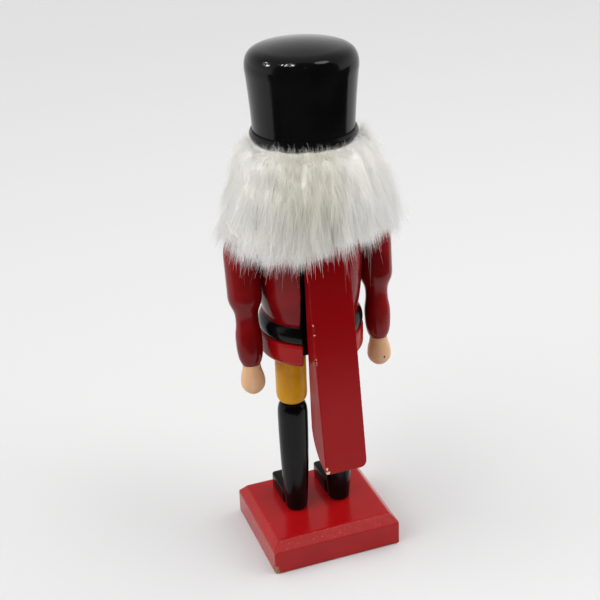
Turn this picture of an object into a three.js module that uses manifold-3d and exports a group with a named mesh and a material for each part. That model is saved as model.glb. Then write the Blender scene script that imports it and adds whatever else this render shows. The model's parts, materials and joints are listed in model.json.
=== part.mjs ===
// A standing wooden nutcracker: turned and sawn pieces pegged together, with a lever and jaw on a cross pin.
// Millimetres, +Z up, origin at the middle of the plinth's underside. The figure faces -Y and its left is +X.
import * as THREE from 'three';
import { ConvexGeometry } from 'three/addons/geometries/ConvexGeometry.js';
import { mergeVertices } from 'three/addons/utils/BufferGeometryUtils.js';
import Module from 'manifold-3d';

// Fits
const seat = 0.3; // glue line between two pieces that meet
const pegPlay = 0.2; // radial gap round a glued dowel
const pegEndGap = 0.6; // air at the blind end of a dowel's hole
const pinPlay = 0.3; // radial gap of the lever on its pin
const slotPlay = 1.65; // side gap of the lever in its slot
const swingClearance = 1.5; // room kept free round the swinging lever and jaw
const furGap = 0.4; // gap between fur and what it lies on

// Plinth
const plinthWidth = 78.7;
const plinthDepth = 69.7;
const plinthHeight = 20.4;
const plinthChamferInset = 4.5;
const plinthChamferRise = 5.4;

// Legs
const legSpacing = 27.2;
const legBack = 1.7; // how far the legs stand behind the torso's axis
const bootLength = 73.8;
const bootFootRadius = 6.6;
const bootTopRadius = 8.8;
const bootFootRound = 2;
const bootKneeRound = 9;
const kneeRadius = 5;
const thighLength = 32.4;
const thighRadius = 9;
const thighKneeRound = 6;
const legDowelRadius = 3;
const legDowelInPlinth = 12;
const legDowelInTorso = 14;

// Shoes
const shoeWidth = 13.4;
const shoeHeight = 9.3;
const shoeReach = 26.7; // ahead of the leg's axis
const shoeHeel = 5; // ahead of the leg's axis, where the heel's two wings end
const shoeCornerRadius = 2.5;
const shoeEdgeRound = 0.8;

// Torso, from the skirt up
const skirtRadius = 29.7;
const skirtHeight = 13.7;
const skirtRound = 4;
const grooveDepth = 1.7;
const beltSwell = 30.2; // radius that draws the belt's ridge outward
const beltHeight = 10.4;
const waistRadius = 26.4;
const coatRadius = 29.65;
const coatHeight = 53.4;
const coatFlareHeight = 29; // height over which the coat widens from the waist
const shoulderDrop = 14;
const shoulderInset = 8;
const slotFloor = 12; // the back groove's floor, behind the torso's axis

// Head and hat
const headRadius = 25.6;
const headHeight = 46.4;
const headEdgeRound = 3;
const mouthHeight = 16; // from the head's underside to the upper lip
const neckDowelRadius = 2.5;
const neckDowelLength = 24;
const neckDowelAcross = 20;
const neckDowelForward = 9;
const noseLength = 9;
const noseBaseRadius = 3.2;
const noseSwell = 4.8; // radius that draws the nose's side outward
const noseBudRadius = 3.8;
const noseBudPlace = 6.3; // from the face to the bud's rounded end
const noseTipRound = 3;
const noseHeight = 28;
const noseTenonRadius = 2;
const noseTenonLength = 7;
const hatRimRadius = 29.2;
const hatRimHeight = 4.6;
const hatRimRound = 1.2;
const hatNeckRadius = 27.2;
const hatCrownRadius = 29.7;
const hatCrownHeight = 37.2; // from the rim's underside to the widest part of the crown
const hatHeight = 50.2;
const hatEdgeDrop = 6.8;
const hatDomeRise = 4;
const hatDowelRadius = 4;
const hatDowelLength = 28;

// Arms
const leftArmLean = 7.6; // degrees that the arm leans back
const rightArmLean = 4.9;
const armBack = 0.8; // how far the shoulder pegs sit behind the torso's axis
const shoulderFlat = 0.6; // depth of the flat that each arm is glued to
const shoulderFlatDrop = 26; // below the shoulder peg
const shoulderBelowTop = 15;
const sleeveRadius = 9.5;
const upperArmDepth = 22; // below the shoulder peg, where the upper arm starts to narrow
const sleeveTop = 13.4; // above the shoulder peg
const sleeveTopFullness = 0.6; // share of its height and radius that the shoulder's dome holds
const elbowDepth = 36;
const elbowRadius = 6.3;
const forearmDepth = 48.5;
const forearmRadius = 7.4;
const sleeveLength = 62.6; // from the shoulder peg to the cuff
const cuffRadius = 5;
const wristRadius = 5;
const handLength = 17.8;
const handRadius = 6.8;
const handWidest = 10.8; // below the wrist
const handTenonRadius = 2.8;
const handTenonLength = 8;
const shoulderDowelRadius = 3;
const shoulderDowelInTorso = 11;
const shoulderDowelInSleeve = 13;

// Lever and jaw, measured from the pin
const pinRadius = 2;
const pinBelowTop = 8; // below the torso's top
const pinInset = 3.5; // how far the pin's ends stay inside the coat
const openAngle = 22; // degrees of jaw swing
const leverWidth = 24.5;
const leverArmAbove = 11;
const leverArmBelow = 6;
const leverBack = 31; // rear face behind the pin, at the pin's height
const leverRake = 9.6; // degrees that the rear face leans back
const leverDrop = 124.4; // from the pin down to the tail's tip
const leverTailRadius = 23;
const leverNeck = 7.2; // thickness of the lever where the tail leaves the slot
const leverNeckDrop = 14; // below the pin
const leverFillet = 7;
const leverTopRound = 5;
const jawDepth = 19;
const jawReach = 27; // front of the jaw ahead of the pin
const jawChinRound = 4;
const jawDowelRadius = 2.4;
const jawDowelLength = 18;
const jawDowelAbovePin = 7;

// Fur
const hairRadius = 49.5;
const hairTopRadius = 28.4;
const hairWidestDrop = 44.5; // below the hat
const hairLength = 59; // below the hat, at the back
const hairHemInset = 18; // how far the hem's edge lies inside the widest place
const hairSideRise = 21; // how far the side keeps its width above the widest place
const hairCrownDrop = 4.5; // how far the top curve falls before it turns outward
const faceAngle = 65; // degrees either side of the face that stay bare
const beardWidth = 36;
const beardTipWidth = 15;
const beardTop = 17; // above the pin
const beardCheek = 10; // above the pin, where the beard is widest
const beardDrop = 18; // below the pin
const beardThickness = 11;

// Facets
const roundSteps = 36;
const limbSteps = 20;
const pegSteps = 12;
const curveSteps = 5;
const mergeDistance = 1e-4;

// Heights and places that follow from the sizes above
const degree = Math.PI / 180;
const bootBottom = plinthHeight + seat;
const thighBottom = bootBottom + bootLength + seat;
const torsoBottom = thighBottom + thighLength + seat;
const torsoHeight = skirtHeight + beltHeight + coatHeight;
const torsoTop = torsoBottom + torsoHeight;
const headBottom = torsoTop + seat;
const mouthTop = headBottom + mouthHeight;
const hatBottom = headBottom + headHeight + seat;
const shoulderHeight = torsoTop - shoulderBelowTop;
const shoulderFace = coatRadius - shoulderFlat;
const armAcross = shoulderFace + seat + sleeveRadius;
const pinHeight = torsoTop - pinBelowTop;
const slotHalf = leverWidth / 2 + slotPlay;
const throatFloor = pinHeight - jawReach * Math.sin(openAngle * degree) - swingClearance;
const far = 4 * plinthWidth; // longer than any cut needs

const wasm = await Module();
wasm.setup();

// A closed geometry as a solid that can be cut and joined.
function solid(geometry) {
  const bare = geometry.index ? geometry.toNonIndexed() : geometry.clone();
  bare.deleteAttribute('normal');
  bare.deleteAttribute('uv');
  const merged = mergeVertices(bare, mergeDistance);
  const vertProperties = merged.attributes.position.array;
  const triVerts = new Uint32Array(merged.index.array);
  return new wasm.Manifold(new wasm.Mesh({ numProp: 3, vertProperties, triVerts }));
}

// A solid back as a geometry.
function geometryOf(body) {
  const mesh = body.getMesh();
  const geometry = new THREE.BufferGeometry();
  geometry.setAttribute('position', new THREE.BufferAttribute(mesh.vertProperties, 3));
  geometry.setIndex(new THREE.BufferAttribute(mesh.triVerts, 1));
  return geometry;
}

// A shape turned about the Z axis from a profile of radius and height.
function turned(profile, steps) {
  return solid(new THREE.LatheGeometry(profile.getPoints(curveSteps), steps).rotateX(Math.PI / 2));
}

// A block between two corners.
function block(low, high) {
  const size = [0, 1, 2].map((k) => high[k] - low[k]);
  const middle = [0, 1, 2].map((k) => (high[k] + low[k]) / 2);
  return solid(new THREE.BoxGeometry(...size).translate(...middle));
}

// A round peg along one axis, from one place on it to another; its other two coordinates are given in at.
function peg(axis, radius, from, to, at) {
  const rod = new THREE.CylinderGeometry(radius, radius, to - from, pegSteps);
  rod.translate(0, (from + to) / 2, 0);
  if (axis === 'x') rod.rotateZ(-Math.PI / 2);
  if (axis === 'z') rod.rotateX(Math.PI / 2);
  return solid(rod.translate(...at));
}

// Two places in rising order.
function rising(one, other) {
  return [Math.min(one, other), Math.max(one, other)];
}

// A flat outline with square edges, pulled up along Z.
function pulled(outline, depth) {
  return new THREE.ExtrudeGeometry(outline, { depth, bevelEnabled: false, curveSegments: curveSteps });
}

// A side outline, drawn as (y, z), sawn to a width across X.
function sawn(outline, width) {
  const upright = new THREE.Matrix4().set(0, 0, 1, -width / 2, 1, 0, 0, 0, 0, 1, 0, 0, 0, 0, 0, 1);
  return solid(pulled(outline, width).applyMatrix4(upright));
}

// A point of the lever's side view, given from the pin, turned with the jaw by an angle in degrees.
function swung(y, z, angle) {
  const turn = new THREE.Vector2(y, z).rotateAround(new THREE.Vector2(), angle * degree);
  return new THREE.Vector2(turn.x, turn.y + pinHeight);
}

const finishes = {
  red: { color: 0x8c1f24, roughness: 0.35, metalness: 0 },
  satinRed: { color: 0x96262a, roughness: 0.5, metalness: 0 },
  black: { color: 0x111113, roughness: 0.2, metalness: 0 },
  yellow: { color: 0xbf8420, roughness: 0.3, metalness: 0 },
  flesh: { color: 0xe2ba92, roughness: 0.5, metalness: 0 },
  bareWood: { color: 0xcaa472, roughness: 0.7, metalness: 0 },
  steel: { color: 0x9a9a9c, roughness: 0.35, metalness: 1 },
  fur: { color: 0xf0ece4, roughness: 0.95, metalness: 0 },
};

// A named piece in its own finish.
function piece(name, body, finish) {
  const mesh = new THREE.Mesh(geometryOf(body), new THREE.MeshStandardMaterial(finishes[finish]));
  mesh.name = name;
  return mesh;
}

const sides = [
  { word: 'left', sign: 1, lean: leftArmLean },
  { word: 'right', sign: -1, lean: rightArmLean },
];

// Plinth: a block with its top edges planed off, and a hole for each leg dowel
function makePlinth() {
  const corners = [];
  const wallTop = plinthHeight - plinthChamferRise;
  for (const [inset, z] of [[0, 0], [0, wallTop], [plinthChamferInset, plinthHeight]]) {
    for (const sx of [-1, 1]) {
      for (const sy of [-1, 1]) {
        corners.push(new THREE.Vector3(sx * (plinthWidth / 2 - inset), sy * (plinthDepth / 2 - inset), z));
      }
    }
  }
  let body = solid(new ConvexGeometry(corners));
  for (const { sign } of sides) {
    const at = [(sign * legSpacing) / 2, legBack, 0];
    const floor = plinthHeight - legDowelInPlinth - pegEndGap;
    body = body.subtract(peg('z', legDowelRadius + pegPlay, floor, plinthHeight + far, at));
  }
  return piece('plinth', body, 'satinRed');
}

// Legs: boot and thigh, turned apart and threaded on one dowel
function bootProfile(grow) {
  const profile = new THREE.Path();
  const kneeStart = bootLength - bootKneeRound;
  profile.moveTo(0, -grow);
  profile.lineTo(bootFootRadius - bootFootRound + grow, -grow);
  profile.quadraticCurveTo(bootFootRadius + grow, -grow, bootFootRadius + grow, bootFootRound);
  profile.quadraticCurveTo(bootTopRadius + grow, kneeStart / 2, bootTopRadius + grow, kneeStart);
  profile.quadraticCurveTo(bootTopRadius + grow, bootLength + grow, kneeRadius + grow, bootLength + grow);
  profile.lineTo(0, bootLength + grow);
  return profile;
}

function thighProfile() {
  const profile = new THREE.Path();
  profile.moveTo(0, 0);
  profile.lineTo(kneeRadius, 0);
  profile.quadraticCurveTo(thighRadius, 0, thighRadius, thighKneeRound);
  profile.lineTo(thighRadius, thighLength);
  profile.lineTo(0, thighLength);
  return profile;
}

// A shoe block in front of the boot, with its heel hollowed to the boot
function shoeBody() {
  const half = shoeWidth / 2 - shoeEdgeRound;
  const front = -shoeReach + shoeEdgeRound;
  const corner = shoeCornerRadius - shoeEdgeRound;
  const outline = new THREE.Shape();
  outline.moveTo(half, 0);
  outline.lineTo(-half, 0);
  outline.lineTo(-half, front + corner);
  outline.absarc(-half + corner, front + corner, corner, Math.PI, 1.5 * Math.PI, false);
  outline.absarc(half - corner, front + corner, corner, 1.5 * Math.PI, 2 * Math.PI, false);
  outline.closePath();
  const upper = new THREE.ExtrudeGeometry(outline, {
    depth: shoeHeight - 2 * shoeEdgeRound,
    bevelThickness: shoeEdgeRound,
    bevelSize: shoeEdgeRound,
    bevelSegments: 2,
    curveSegments: 3,
  });
  upper.translate(0, 0, shoeEdgeRound);
  const behind = block([-far, -shoeHeel, -far], [far, far, far]);
  return solid(upper).subtract(behind).subtract(turned(bootProfile(seat), limbSteps));
}

function makeLeg({ word, sign }) {
  const leg = new THREE.Group();
  leg.position.set((sign * legSpacing) / 2, legBack, 0);
  const bore = peg('z', legDowelRadius + pegPlay, -far, far, [0, 0, 0]);
  const boot = piece(`${word}_boot`, turned(bootProfile(0), limbSteps).subtract(bore), 'black');
  boot.position.z = bootBottom;
  const thigh = piece(`${word}_thigh`, turned(thighProfile(), limbSteps).subtract(bore), 'yellow');
  thigh.position.z = thighBottom;
  const shoe = piece(`${word}_shoe`, shoeBody(), 'black');
  shoe.position.z = bootBottom;
  const dowelBottom = plinthHeight - legDowelInPlinth;
  const dowelBody = peg('z', legDowelRadius, dowelBottom, torsoBottom + legDowelInTorso, [0, 0, 0]);
  leg.add(boot, thigh, shoe, piece(`${word}_leg_dowel`, dowelBody, 'bareWood'));
  return leg;
}

// Torso: skirt, belt ridge and coat turned from one block
function torsoProfile(grow) {
  const beltTop = skirtHeight + beltHeight;
  const coatFlareTop = beltTop + coatFlareHeight;
  const profile = new THREE.Path();
  profile.moveTo(0, -grow);
  profile.lineTo(skirtRadius - skirtRound + grow, -grow);
  profile.quadraticCurveTo(skirtRadius + grow, -grow, skirtRadius + grow, skirtRound);
  profile.lineTo(skirtRadius + grow, skirtHeight - grooveDepth);
  profile.quadraticCurveTo(
    skirtRadius + grow, skirtHeight - grooveDepth / 4,
    skirtRadius - grooveDepth + grow, skirtHeight,
  );
  profile.bezierCurveTo(
    beltSwell + grow, skirtHeight + grooveDepth / 2,
    beltSwell + grow, beltTop - grooveDepth,
    waistRadius + grow, beltTop,
  );
  profile.quadraticCurveTo(
    coatRadius - grooveDepth / 2 + grow, beltTop + coatFlareHeight / 4,
    coatRadius + grow, coatFlareTop,
  );
  profile.lineTo(coatRadius + grow, torsoHeight - shoulderDrop + grow);
  profile.quadraticCurveTo(
    coatRadius + grow, torsoHeight + grow,
    coatRadius - shoulderInset + grow, torsoHeight + grow,
  );
  profile.lineTo(0, torsoHeight + grow);
  return profile;
}

// The hole of the cross pin, in torso and lever alike
function pinHole(radius, halfLength) {
  return peg('x', radius, -halfLength, halfLength, [0, 0, pinHeight]);
}

function neckPeg(sign, radius, below, above) {
  const at = [sign * neckDowelAcross, -neckDowelForward, 0];
  return peg('z', radius, torsoTop - below, headBottom + above, at);
}

function shoulderPeg(sign, radius, inTorso, inSleeve) {
  const meet = shoulderFace + seat / 2;
  const ends = rising(sign * (meet - inTorso), sign * (meet + inSleeve));
  return peg('x', radius, ...ends, [0, armBack, shoulderHeight]);
}

function makeTorso() {
  const back = block([-slotHalf, slotFloor, -far], [slotHalf, far, far]);
  const throat = block([-slotHalf, -far, throatFloor], [slotHalf, far, far]);
  let body = turned(torsoProfile(0), roundSteps).translate([0, 0, torsoBottom]);
  body = body.subtract(back).subtract(throat).subtract(pinHole(pinRadius + pegPlay, far));
  for (const { sign } of sides) {
    const legAt = [(sign * legSpacing) / 2, legBack, 0];
    const legTop = torsoBottom + legDowelInTorso + pegEndGap;
    body = body.subtract(peg('z', legDowelRadius + pegPlay, -far, legTop, legAt));
    body = body.subtract(neckPeg(sign, neckDowelRadius + pegPlay, neckDowelLength / 2 + pegEndGap, far));
    const armHole = shoulderDowelInTorso + pegEndGap;
    body = body.subtract(shoulderPeg(sign, shoulderDowelRadius + pegPlay, armHole, far));
    const flat = rising(sign * shoulderFace, sign * far);
    body = body.subtract(block([flat[0], -far, shoulderHeight - shoulderFlatDrop], [flat[1], far, far]));
  }
  return piece('torso', body, 'red');
}

// Head: a turned block with the mouth slot through it
function headProfile() {
  const profile = new THREE.Path();
  profile.moveTo(0, 0);
  profile.lineTo(headRadius - headEdgeRound, 0);
  profile.quadraticCurveTo(headRadius, 0, headRadius, headEdgeRound);
  profile.lineTo(headRadius, headHeight - headEdgeRound);
  profile.quadraticCurveTo(headRadius, headHeight, headRadius - headEdgeRound, headHeight);
  profile.lineTo(0, headHeight);
  return profile;
}

function makeHead() {
  const mouth = block([-slotHalf, -far, -far], [slotHalf, far, mouthTop]);
  const hatHole = hatBottom - hatDowelLength / 2 - pegEndGap;
  const noseAt = [0, 0, headBottom + noseHeight];
  const noseHole = -headRadius + noseTenonLength + pegEndGap;
  let body = turned(headProfile(), roundSteps).translate([0, 0, headBottom]).subtract(mouth);
  body = body.subtract(peg('z', hatDowelRadius + pegPlay, hatHole, far, [0, 0, 0]));
  body = body.subtract(peg('y', noseTenonRadius + pegPlay, -far, noseHole, noseAt));
  for (const { sign } of sides) {
    body = body.subtract(neckPeg(sign, neckDowelRadius + pegPlay, far, neckDowelLength / 2 + pegEndGap));
  }
  return piece('head', body, 'flesh');
}

function makeNeckDowel({ word, sign }) {
  const body = neckPeg(sign, neckDowelRadius, neckDowelLength / 2, neckDowelLength / 2);
  return piece(`${word}_neck_dowel`, body, 'bareWood');
}

// Nose: a turned bud on its own tenon, pointing forward
function makeNose() {
  const profile = new THREE.Path();
  profile.moveTo(0, -noseTenonLength);
  profile.lineTo(noseTenonRadius, -noseTenonLength);
  profile.lineTo(noseTenonRadius, seat);
  profile.lineTo(noseBaseRadius, seat);
  profile.quadraticCurveTo(noseSwell, noseLength / 2, noseBudRadius, noseBudPlace);
  profile.quadraticCurveTo(noseTipRound, noseLength, 0, noseLength);
  const nose = piece('nose', turned(profile, pegSteps), 'flesh');
  nose.rotation.x = Math.PI / 2;
  nose.position.set(0, -headRadius, headBottom + noseHeight);
  return nose;
}

// Hat: rim, tapered wall and low dome turned from one block
function makeHat() {
  const shoulder = hatHeight - hatDomeRise;
  const rimEdge = hatRimRadius - hatRimRound;
  const profile = new THREE.Path();
  profile.moveTo(0, 0);
  profile.lineTo(rimEdge, 0);
  profile.quadraticCurveTo(hatRimRadius + hatRimRound / 2, hatRimHeight / 2, rimEdge, hatRimHeight);
  profile.lineTo(hatNeckRadius, hatRimHeight);
  profile.quadraticCurveTo(
    hatNeckRadius + (hatCrownRadius - hatNeckRadius) / 4, (hatRimHeight + hatCrownHeight) / 2,
    hatCrownRadius, hatCrownHeight,
  );
  profile.bezierCurveTo(
    hatCrownRadius, shoulder - hatEdgeDrop / 3,
    hatCrownRadius - hatEdgeDrop / 3, shoulder,
    hatCrownRadius - hatEdgeDrop, shoulder + hatDomeRise / 3,
  );
  profile.quadraticCurveTo((hatCrownRadius - hatEdgeDrop) / 2, hatHeight, 0, hatHeight);
  const hole = peg('z', hatDowelRadius + pegPlay, -far, hatDowelLength / 2 + pegEndGap, [0, 0, 0]);
  const hat = piece('hat', turned(profile, roundSteps).subtract(hole), 'black');
  hat.position.z = hatBottom;
  return hat;
}

function makeHatDowel() {
  const ends = [hatBottom - hatDowelLength / 2, hatBottom + hatDowelLength / 2];
  return piece('hat_dowel', peg('z', hatDowelRadius, ...ends, [0, 0, 0]), 'bareWood');
}

// Arms: a turned sleeve and a turned hand, both along the leaning arm
function sleeveProfile() {
  const elbowHalf = (forearmDepth - elbowDepth) / 2;
  const upperHalf = (elbowDepth - upperArmDepth) / 2;
  const domeRise = sleeveTop * sleeveTopFullness;
  const domeWidth = sleeveRadius * sleeveTopFullness;
  const profile = new THREE.Path();
  profile.moveTo(0, -sleeveLength);
  profile.lineTo(cuffRadius, -sleeveLength);
  profile.bezierCurveTo(
    forearmRadius, -sleeveLength + elbowHalf / 2,
    forearmRadius, -forearmDepth - elbowHalf / 2,
    forearmRadius, -forearmDepth,
  );
  profile.bezierCurveTo(
    forearmRadius, -forearmDepth + elbowHalf,
    elbowRadius, -elbowDepth - elbowHalf,
    elbowRadius, -elbowDepth,
  );
  profile.bezierCurveTo(
    elbowRadius, -elbowDepth + upperHalf,
    sleeveRadius, -upperArmDepth - upperHalf,
    sleeveRadius, -upperArmDepth,
  );
  profile.lineTo(sleeveRadius, 0);
  profile.bezierCurveTo(sleeveRadius, domeRise, domeWidth, sleeveTop, 0, sleeveTop);
  return profile;
}

function handProfile() {
  const tipHalf = (handLength - handWidest) / 2;
  const profile = new THREE.Path();
  profile.moveTo(0, -handLength);
  profile.bezierCurveTo(
    handRadius - tipHalf, -handLength,
    handRadius, -handWidest - tipHalf,
    handRadius, -handWidest,
  );
  profile.bezierCurveTo(handRadius, -handWidest / 2, wristRadius, -handWidest / 3, wristRadius, 0);
  profile.lineTo(handTenonRadius, 0);
  profile.lineTo(handTenonRadius, handTenonLength);
  profile.lineTo(0, handTenonLength);
  return profile;
}

function makeArm({ word, sign, lean }) {
  const arm = new THREE.Group();
  arm.position.set(sign * armAcross, armBack, shoulderHeight);
  arm.rotation.x = lean * degree;
  const socketTop = -sleeveLength + handTenonLength + pegEndGap;
  const socket = peg('z', handTenonRadius + pegPlay, -far, socketTop, [0, 0, 0]);
  const meet = shoulderFace + seat / 2 - armAcross;
  const holeEnd = meet + shoulderDowelInSleeve + pegEndGap;
  const holeSpan = rising(sign * -far, sign * holeEnd);
  const hole = peg('x', shoulderDowelRadius + pegPlay, ...holeSpan, [0, 0, 0]);
  const sleeveBody = turned(sleeveProfile(), limbSteps).subtract(socket).subtract(hole);
  const hand = piece(`${word}_hand`, turned(handProfile(), limbSteps), 'flesh');
  hand.position.z = -sleeveLength - seat;
  arm.add(piece(`${word}_sleeve`, sleeveBody, 'red'), hand);
  return arm;
}

function makeShoulderDowel({ word, sign }) {
  const body = shoulderPeg(sign, shoulderDowelRadius, shoulderDowelInTorso, shoulderDowelInSleeve);
  return piece(`${word}_shoulder_dowel`, body, 'bareWood');
}

// Lever: the arm through the slot and the tail behind the back, sawn from one plank
function rearFace(z) {
  return leverBack - z * Math.tan(leverRake * degree);
}

function leverOutline() {
  const neckFront = rearFace(-leverNeckDrop) - leverNeck;
  const tipY = rearFace(-leverDrop);
  const tailTop = pinHeight - leverDrop + leverTailRadius;
  const armFront = -(jawReach - jawDepth) + seat / 2;
  const outline = new THREE.Shape();
  outline.moveTo(armFront, pinHeight - leverArmBelow);
  outline.lineTo(neckFront - leverFillet, pinHeight - leverArmBelow);
  outline.quadraticCurveTo(
    neckFront, pinHeight - leverArmBelow,
    neckFront, pinHeight - leverNeckDrop,
  );
  outline.lineTo(tipY - leverTailRadius, tailTop);
  outline.absarc(tipY, tailTop, leverTailRadius, Math.PI, 1.5 * Math.PI, false);
  outline.lineTo(rearFace(leverArmAbove - leverTopRound), pinHeight + leverArmAbove - leverTopRound);
  outline.quadraticCurveTo(
    rearFace(leverArmAbove), pinHeight + leverArmAbove,
    rearFace(leverArmAbove) - leverTopRound, pinHeight + leverArmAbove,
  );
  outline.lineTo(armFront, pinHeight + leverArmAbove);
  outline.closePath();
  return outline;
}

function jawPeg(radius, length) {
  const meet = -(jawReach - jawDepth);
  return peg('y', radius, meet - length / 2, meet + length / 2, [0, 0, pinHeight + jawDowelAbovePin]);
}

function makeLever() {
  const hole = pinHole(pinRadius + pinPlay, far);
  const jawHole = jawPeg(jawDowelRadius + pegPlay, jawDowelLength + 2 * pegEndGap);
  return piece('lever', sawn(leverOutline(), leverWidth).subtract(hole).subtract(jawHole), 'satinRed');
}

function makeJaw() {
  const back = -(jawReach - jawDepth) - seat / 2;
  const chinTop = pinHeight + jawChinRound;
  const outline = new THREE.Shape();
  outline.moveTo(back, pinHeight);
  outline.lineTo(back, mouthTop - seat);
  outline.lineTo(-jawReach, mouthTop - seat);
  outline.lineTo(-jawReach, chinTop);
  outline.absarc(-jawReach + jawChinRound, chinTop, jawChinRound, Math.PI, 1.5 * Math.PI, false);
  outline.closePath();
  const jawHole = jawPeg(jawDowelRadius + pegPlay, jawDowelLength + 2 * pegEndGap);
  return piece('jaw', sawn(outline, leverWidth).subtract(jawHole), 'flesh');
}

function makeJawDowel() {
  return piece('jaw_dowel', jawPeg(jawDowelRadius, jawDowelLength), 'bareWood');
}

function makePin() {
  return piece('pivot_pin', pinHole(pinRadius, coatRadius - pinInset), 'steel');
}

// What the lever sweeps behind the head between shut and open, with room to spare
function leverSweep() {
  const back = leverBack + swingClearance;
  const reach = leverDrop * Math.tan(leverRake * degree);
  const top = leverArmAbove + swingClearance;
  const corner = back - leverArmAbove * Math.tan(leverRake * degree);
  const path = new THREE.Shape([
    swung(0, top, 0),
    swung(corner, top, openAngle),
    swung(corner, top, openAngle / 2),
    swung(back + reach, -leverDrop, openAngle),
    swung(back + reach, -leverDrop, 0),
    swung(0, -leverDrop, 0),
  ]);
  return sawn(path, 2 * slotHalf);
}

// Hair: the outer shape of the fur round the head, open at the face and over the lever and sleeves
function makeHair() {
  const top = hatBottom - seat;
  const widest = top - hairWidestDrop;
  const hem = top - hairLength;
  const inner = headRadius + furGap;
  const profile = new THREE.Path();
  profile.moveTo(inner, hem);
  profile.lineTo(hairRadius - hairHemInset, hem);
  profile.quadraticCurveTo(hairRadius, hem, hairRadius, widest);
  profile.bezierCurveTo(
    hairRadius, widest + hairSideRise,
    hairRadius - (hairRadius - hairTopRadius) / 4, top - hairCrownDrop,
    hairTopRadius, top,
  );
  profile.lineTo(inner, top);
  profile.closePath();
  const face = new THREE.Shape([
    new THREE.Vector2(0, 0),
    new THREE.Vector2(-far * Math.sin(faceAngle * degree), -far * Math.cos(faceAngle * degree)),
    new THREE.Vector2(far * Math.sin(faceAngle * degree), -far * Math.cos(faceAngle * degree)),
  ]);
  const faceCut = solid(pulled(face, 2 * far).translate(0, 0, -far));
  const sleeveBack = armBack + sleeveRadius + swingClearance;
  const sleeveLid = shoulderHeight + sleeveTop + furGap;
  let body = turned(profile, roundSteps);
  body = body.subtract(turned(torsoProfile(furGap), roundSteps).translate([0, 0, torsoBottom]));
  body = body.subtract(faceCut).subtract(leverSweep());
  body = body.subtract(block([-far, -far, -far], [far, sleeveBack, sleeveLid]));
  return piece('hair', body, 'fur');
}

// Beard: a tuft on the jaw's face that leans forward, so that it clears the coat as the jaw drops
function makeBeard() {
  const root = -jawReach - seat;
  const lean = Math.tan(openAngle * degree);
  const clear = -(coatRadius + swingClearance) / Math.cos(openAngle * degree);
  const inner = (z) => clear + z * lean;
  const tip = inner(-beardDrop);
  const side = new THREE.Shape();
  side.moveTo(root, beardTop);
  side.lineTo(Math.min(root, inner(beardTop / 2)), beardTop / 2);
  side.lineTo(inner(0), 0);
  side.lineTo(tip, -beardDrop);
  side.quadraticCurveTo(tip - beardThickness, -beardDrop, inner(0) - beardThickness, 0);
  side.quadraticCurveTo(root - beardThickness, beardTop, root, beardTop);
  const front = new THREE.Shape();
  front.moveTo(-beardTipWidth / 2, -beardDrop);
  front.quadraticCurveTo(0, -beardDrop - seat, beardTipWidth / 2, -beardDrop);
  front.quadraticCurveTo(beardWidth / 2, 0, beardWidth / 2, beardCheek);
  front.lineTo(leverWidth / 2, beardTop);
  front.lineTo(-leverWidth / 2, beardTop);
  front.lineTo(-beardWidth / 2, beardCheek);
  front.quadraticCurveTo(-beardWidth / 2, 0, -beardTipWidth / 2, -beardDrop);
  const frontOutline = solid(pulled(front, far).rotateX(Math.PI / 2));
  const body = sawn(side, beardWidth).intersect(frontOutline);
  const beard = piece('beard', body, 'fur');
  beard.position.z = pinHeight;
  return beard;
}

const nutcracker = new THREE.Group();
nutcracker.add(makePlinth(), makeTorso(), makePin(), makeLever(), makeJaw(), makeJawDowel(), makeBeard());
nutcracker.add(makeHead(), makeNose(), makeHair(), makeHat(), makeHatDowel());
for (const side of sides) {
  nutcracker.add(makeLeg(side), makeNeckDowel(side), makeArm(side), makeShoulderDowel(side));
}

export default nutcracker;
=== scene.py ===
import json
import math
import bmesh
import bpy
import numpy as np
from mathutils import Matrix, Quaternion, Vector


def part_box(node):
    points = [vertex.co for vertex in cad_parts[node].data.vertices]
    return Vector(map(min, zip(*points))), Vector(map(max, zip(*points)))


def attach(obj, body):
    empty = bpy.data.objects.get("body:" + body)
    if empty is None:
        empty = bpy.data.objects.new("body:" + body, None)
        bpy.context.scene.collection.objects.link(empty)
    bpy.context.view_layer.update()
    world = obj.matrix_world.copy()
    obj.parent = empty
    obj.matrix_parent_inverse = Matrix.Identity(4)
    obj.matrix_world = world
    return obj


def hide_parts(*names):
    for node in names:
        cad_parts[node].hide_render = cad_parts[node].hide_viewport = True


# A standing wooden nutcracker seen from behind: turned, painted pieces, a sawn lever and white fur.
# The figure faces -Y and its left is +X. Piece sizes are in millimetres, and the meshes are in metres.
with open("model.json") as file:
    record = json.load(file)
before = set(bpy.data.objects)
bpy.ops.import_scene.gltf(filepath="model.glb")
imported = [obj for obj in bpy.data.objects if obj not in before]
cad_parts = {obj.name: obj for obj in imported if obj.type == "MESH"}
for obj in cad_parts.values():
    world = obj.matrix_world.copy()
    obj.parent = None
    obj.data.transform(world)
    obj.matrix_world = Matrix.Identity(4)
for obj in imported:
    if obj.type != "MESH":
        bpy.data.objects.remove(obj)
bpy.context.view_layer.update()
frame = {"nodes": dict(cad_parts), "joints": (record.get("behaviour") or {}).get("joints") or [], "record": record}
mm = 0.001

bodyOf = {node: body for body, nodes in frame["record"]["behaviour"]["bodies"].items() for node in nodes}
sideSigns = {"left": 1, "right": -1}


def lowOf(node):
    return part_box(node)[0] / mm


def highOf(node):
    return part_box(node)[1] / mm


def cornersOf(node):
    return lowOf(node), highOf(node)


def middleOf(node):
    return (lowOf(node) + highOf(node)) / 2


def newObject(name, data):
    made = bpy.data.objects.new(name, data)
    bpy.context.scene.collection.objects.link(made)
    return made


# Drawing and turning

def curvePoint(knots, t):
    while len(knots) > 1:
        knots = [a.lerp(b, t) for a, b in zip(knots, knots[1:])]
    return knots[0]


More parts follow.
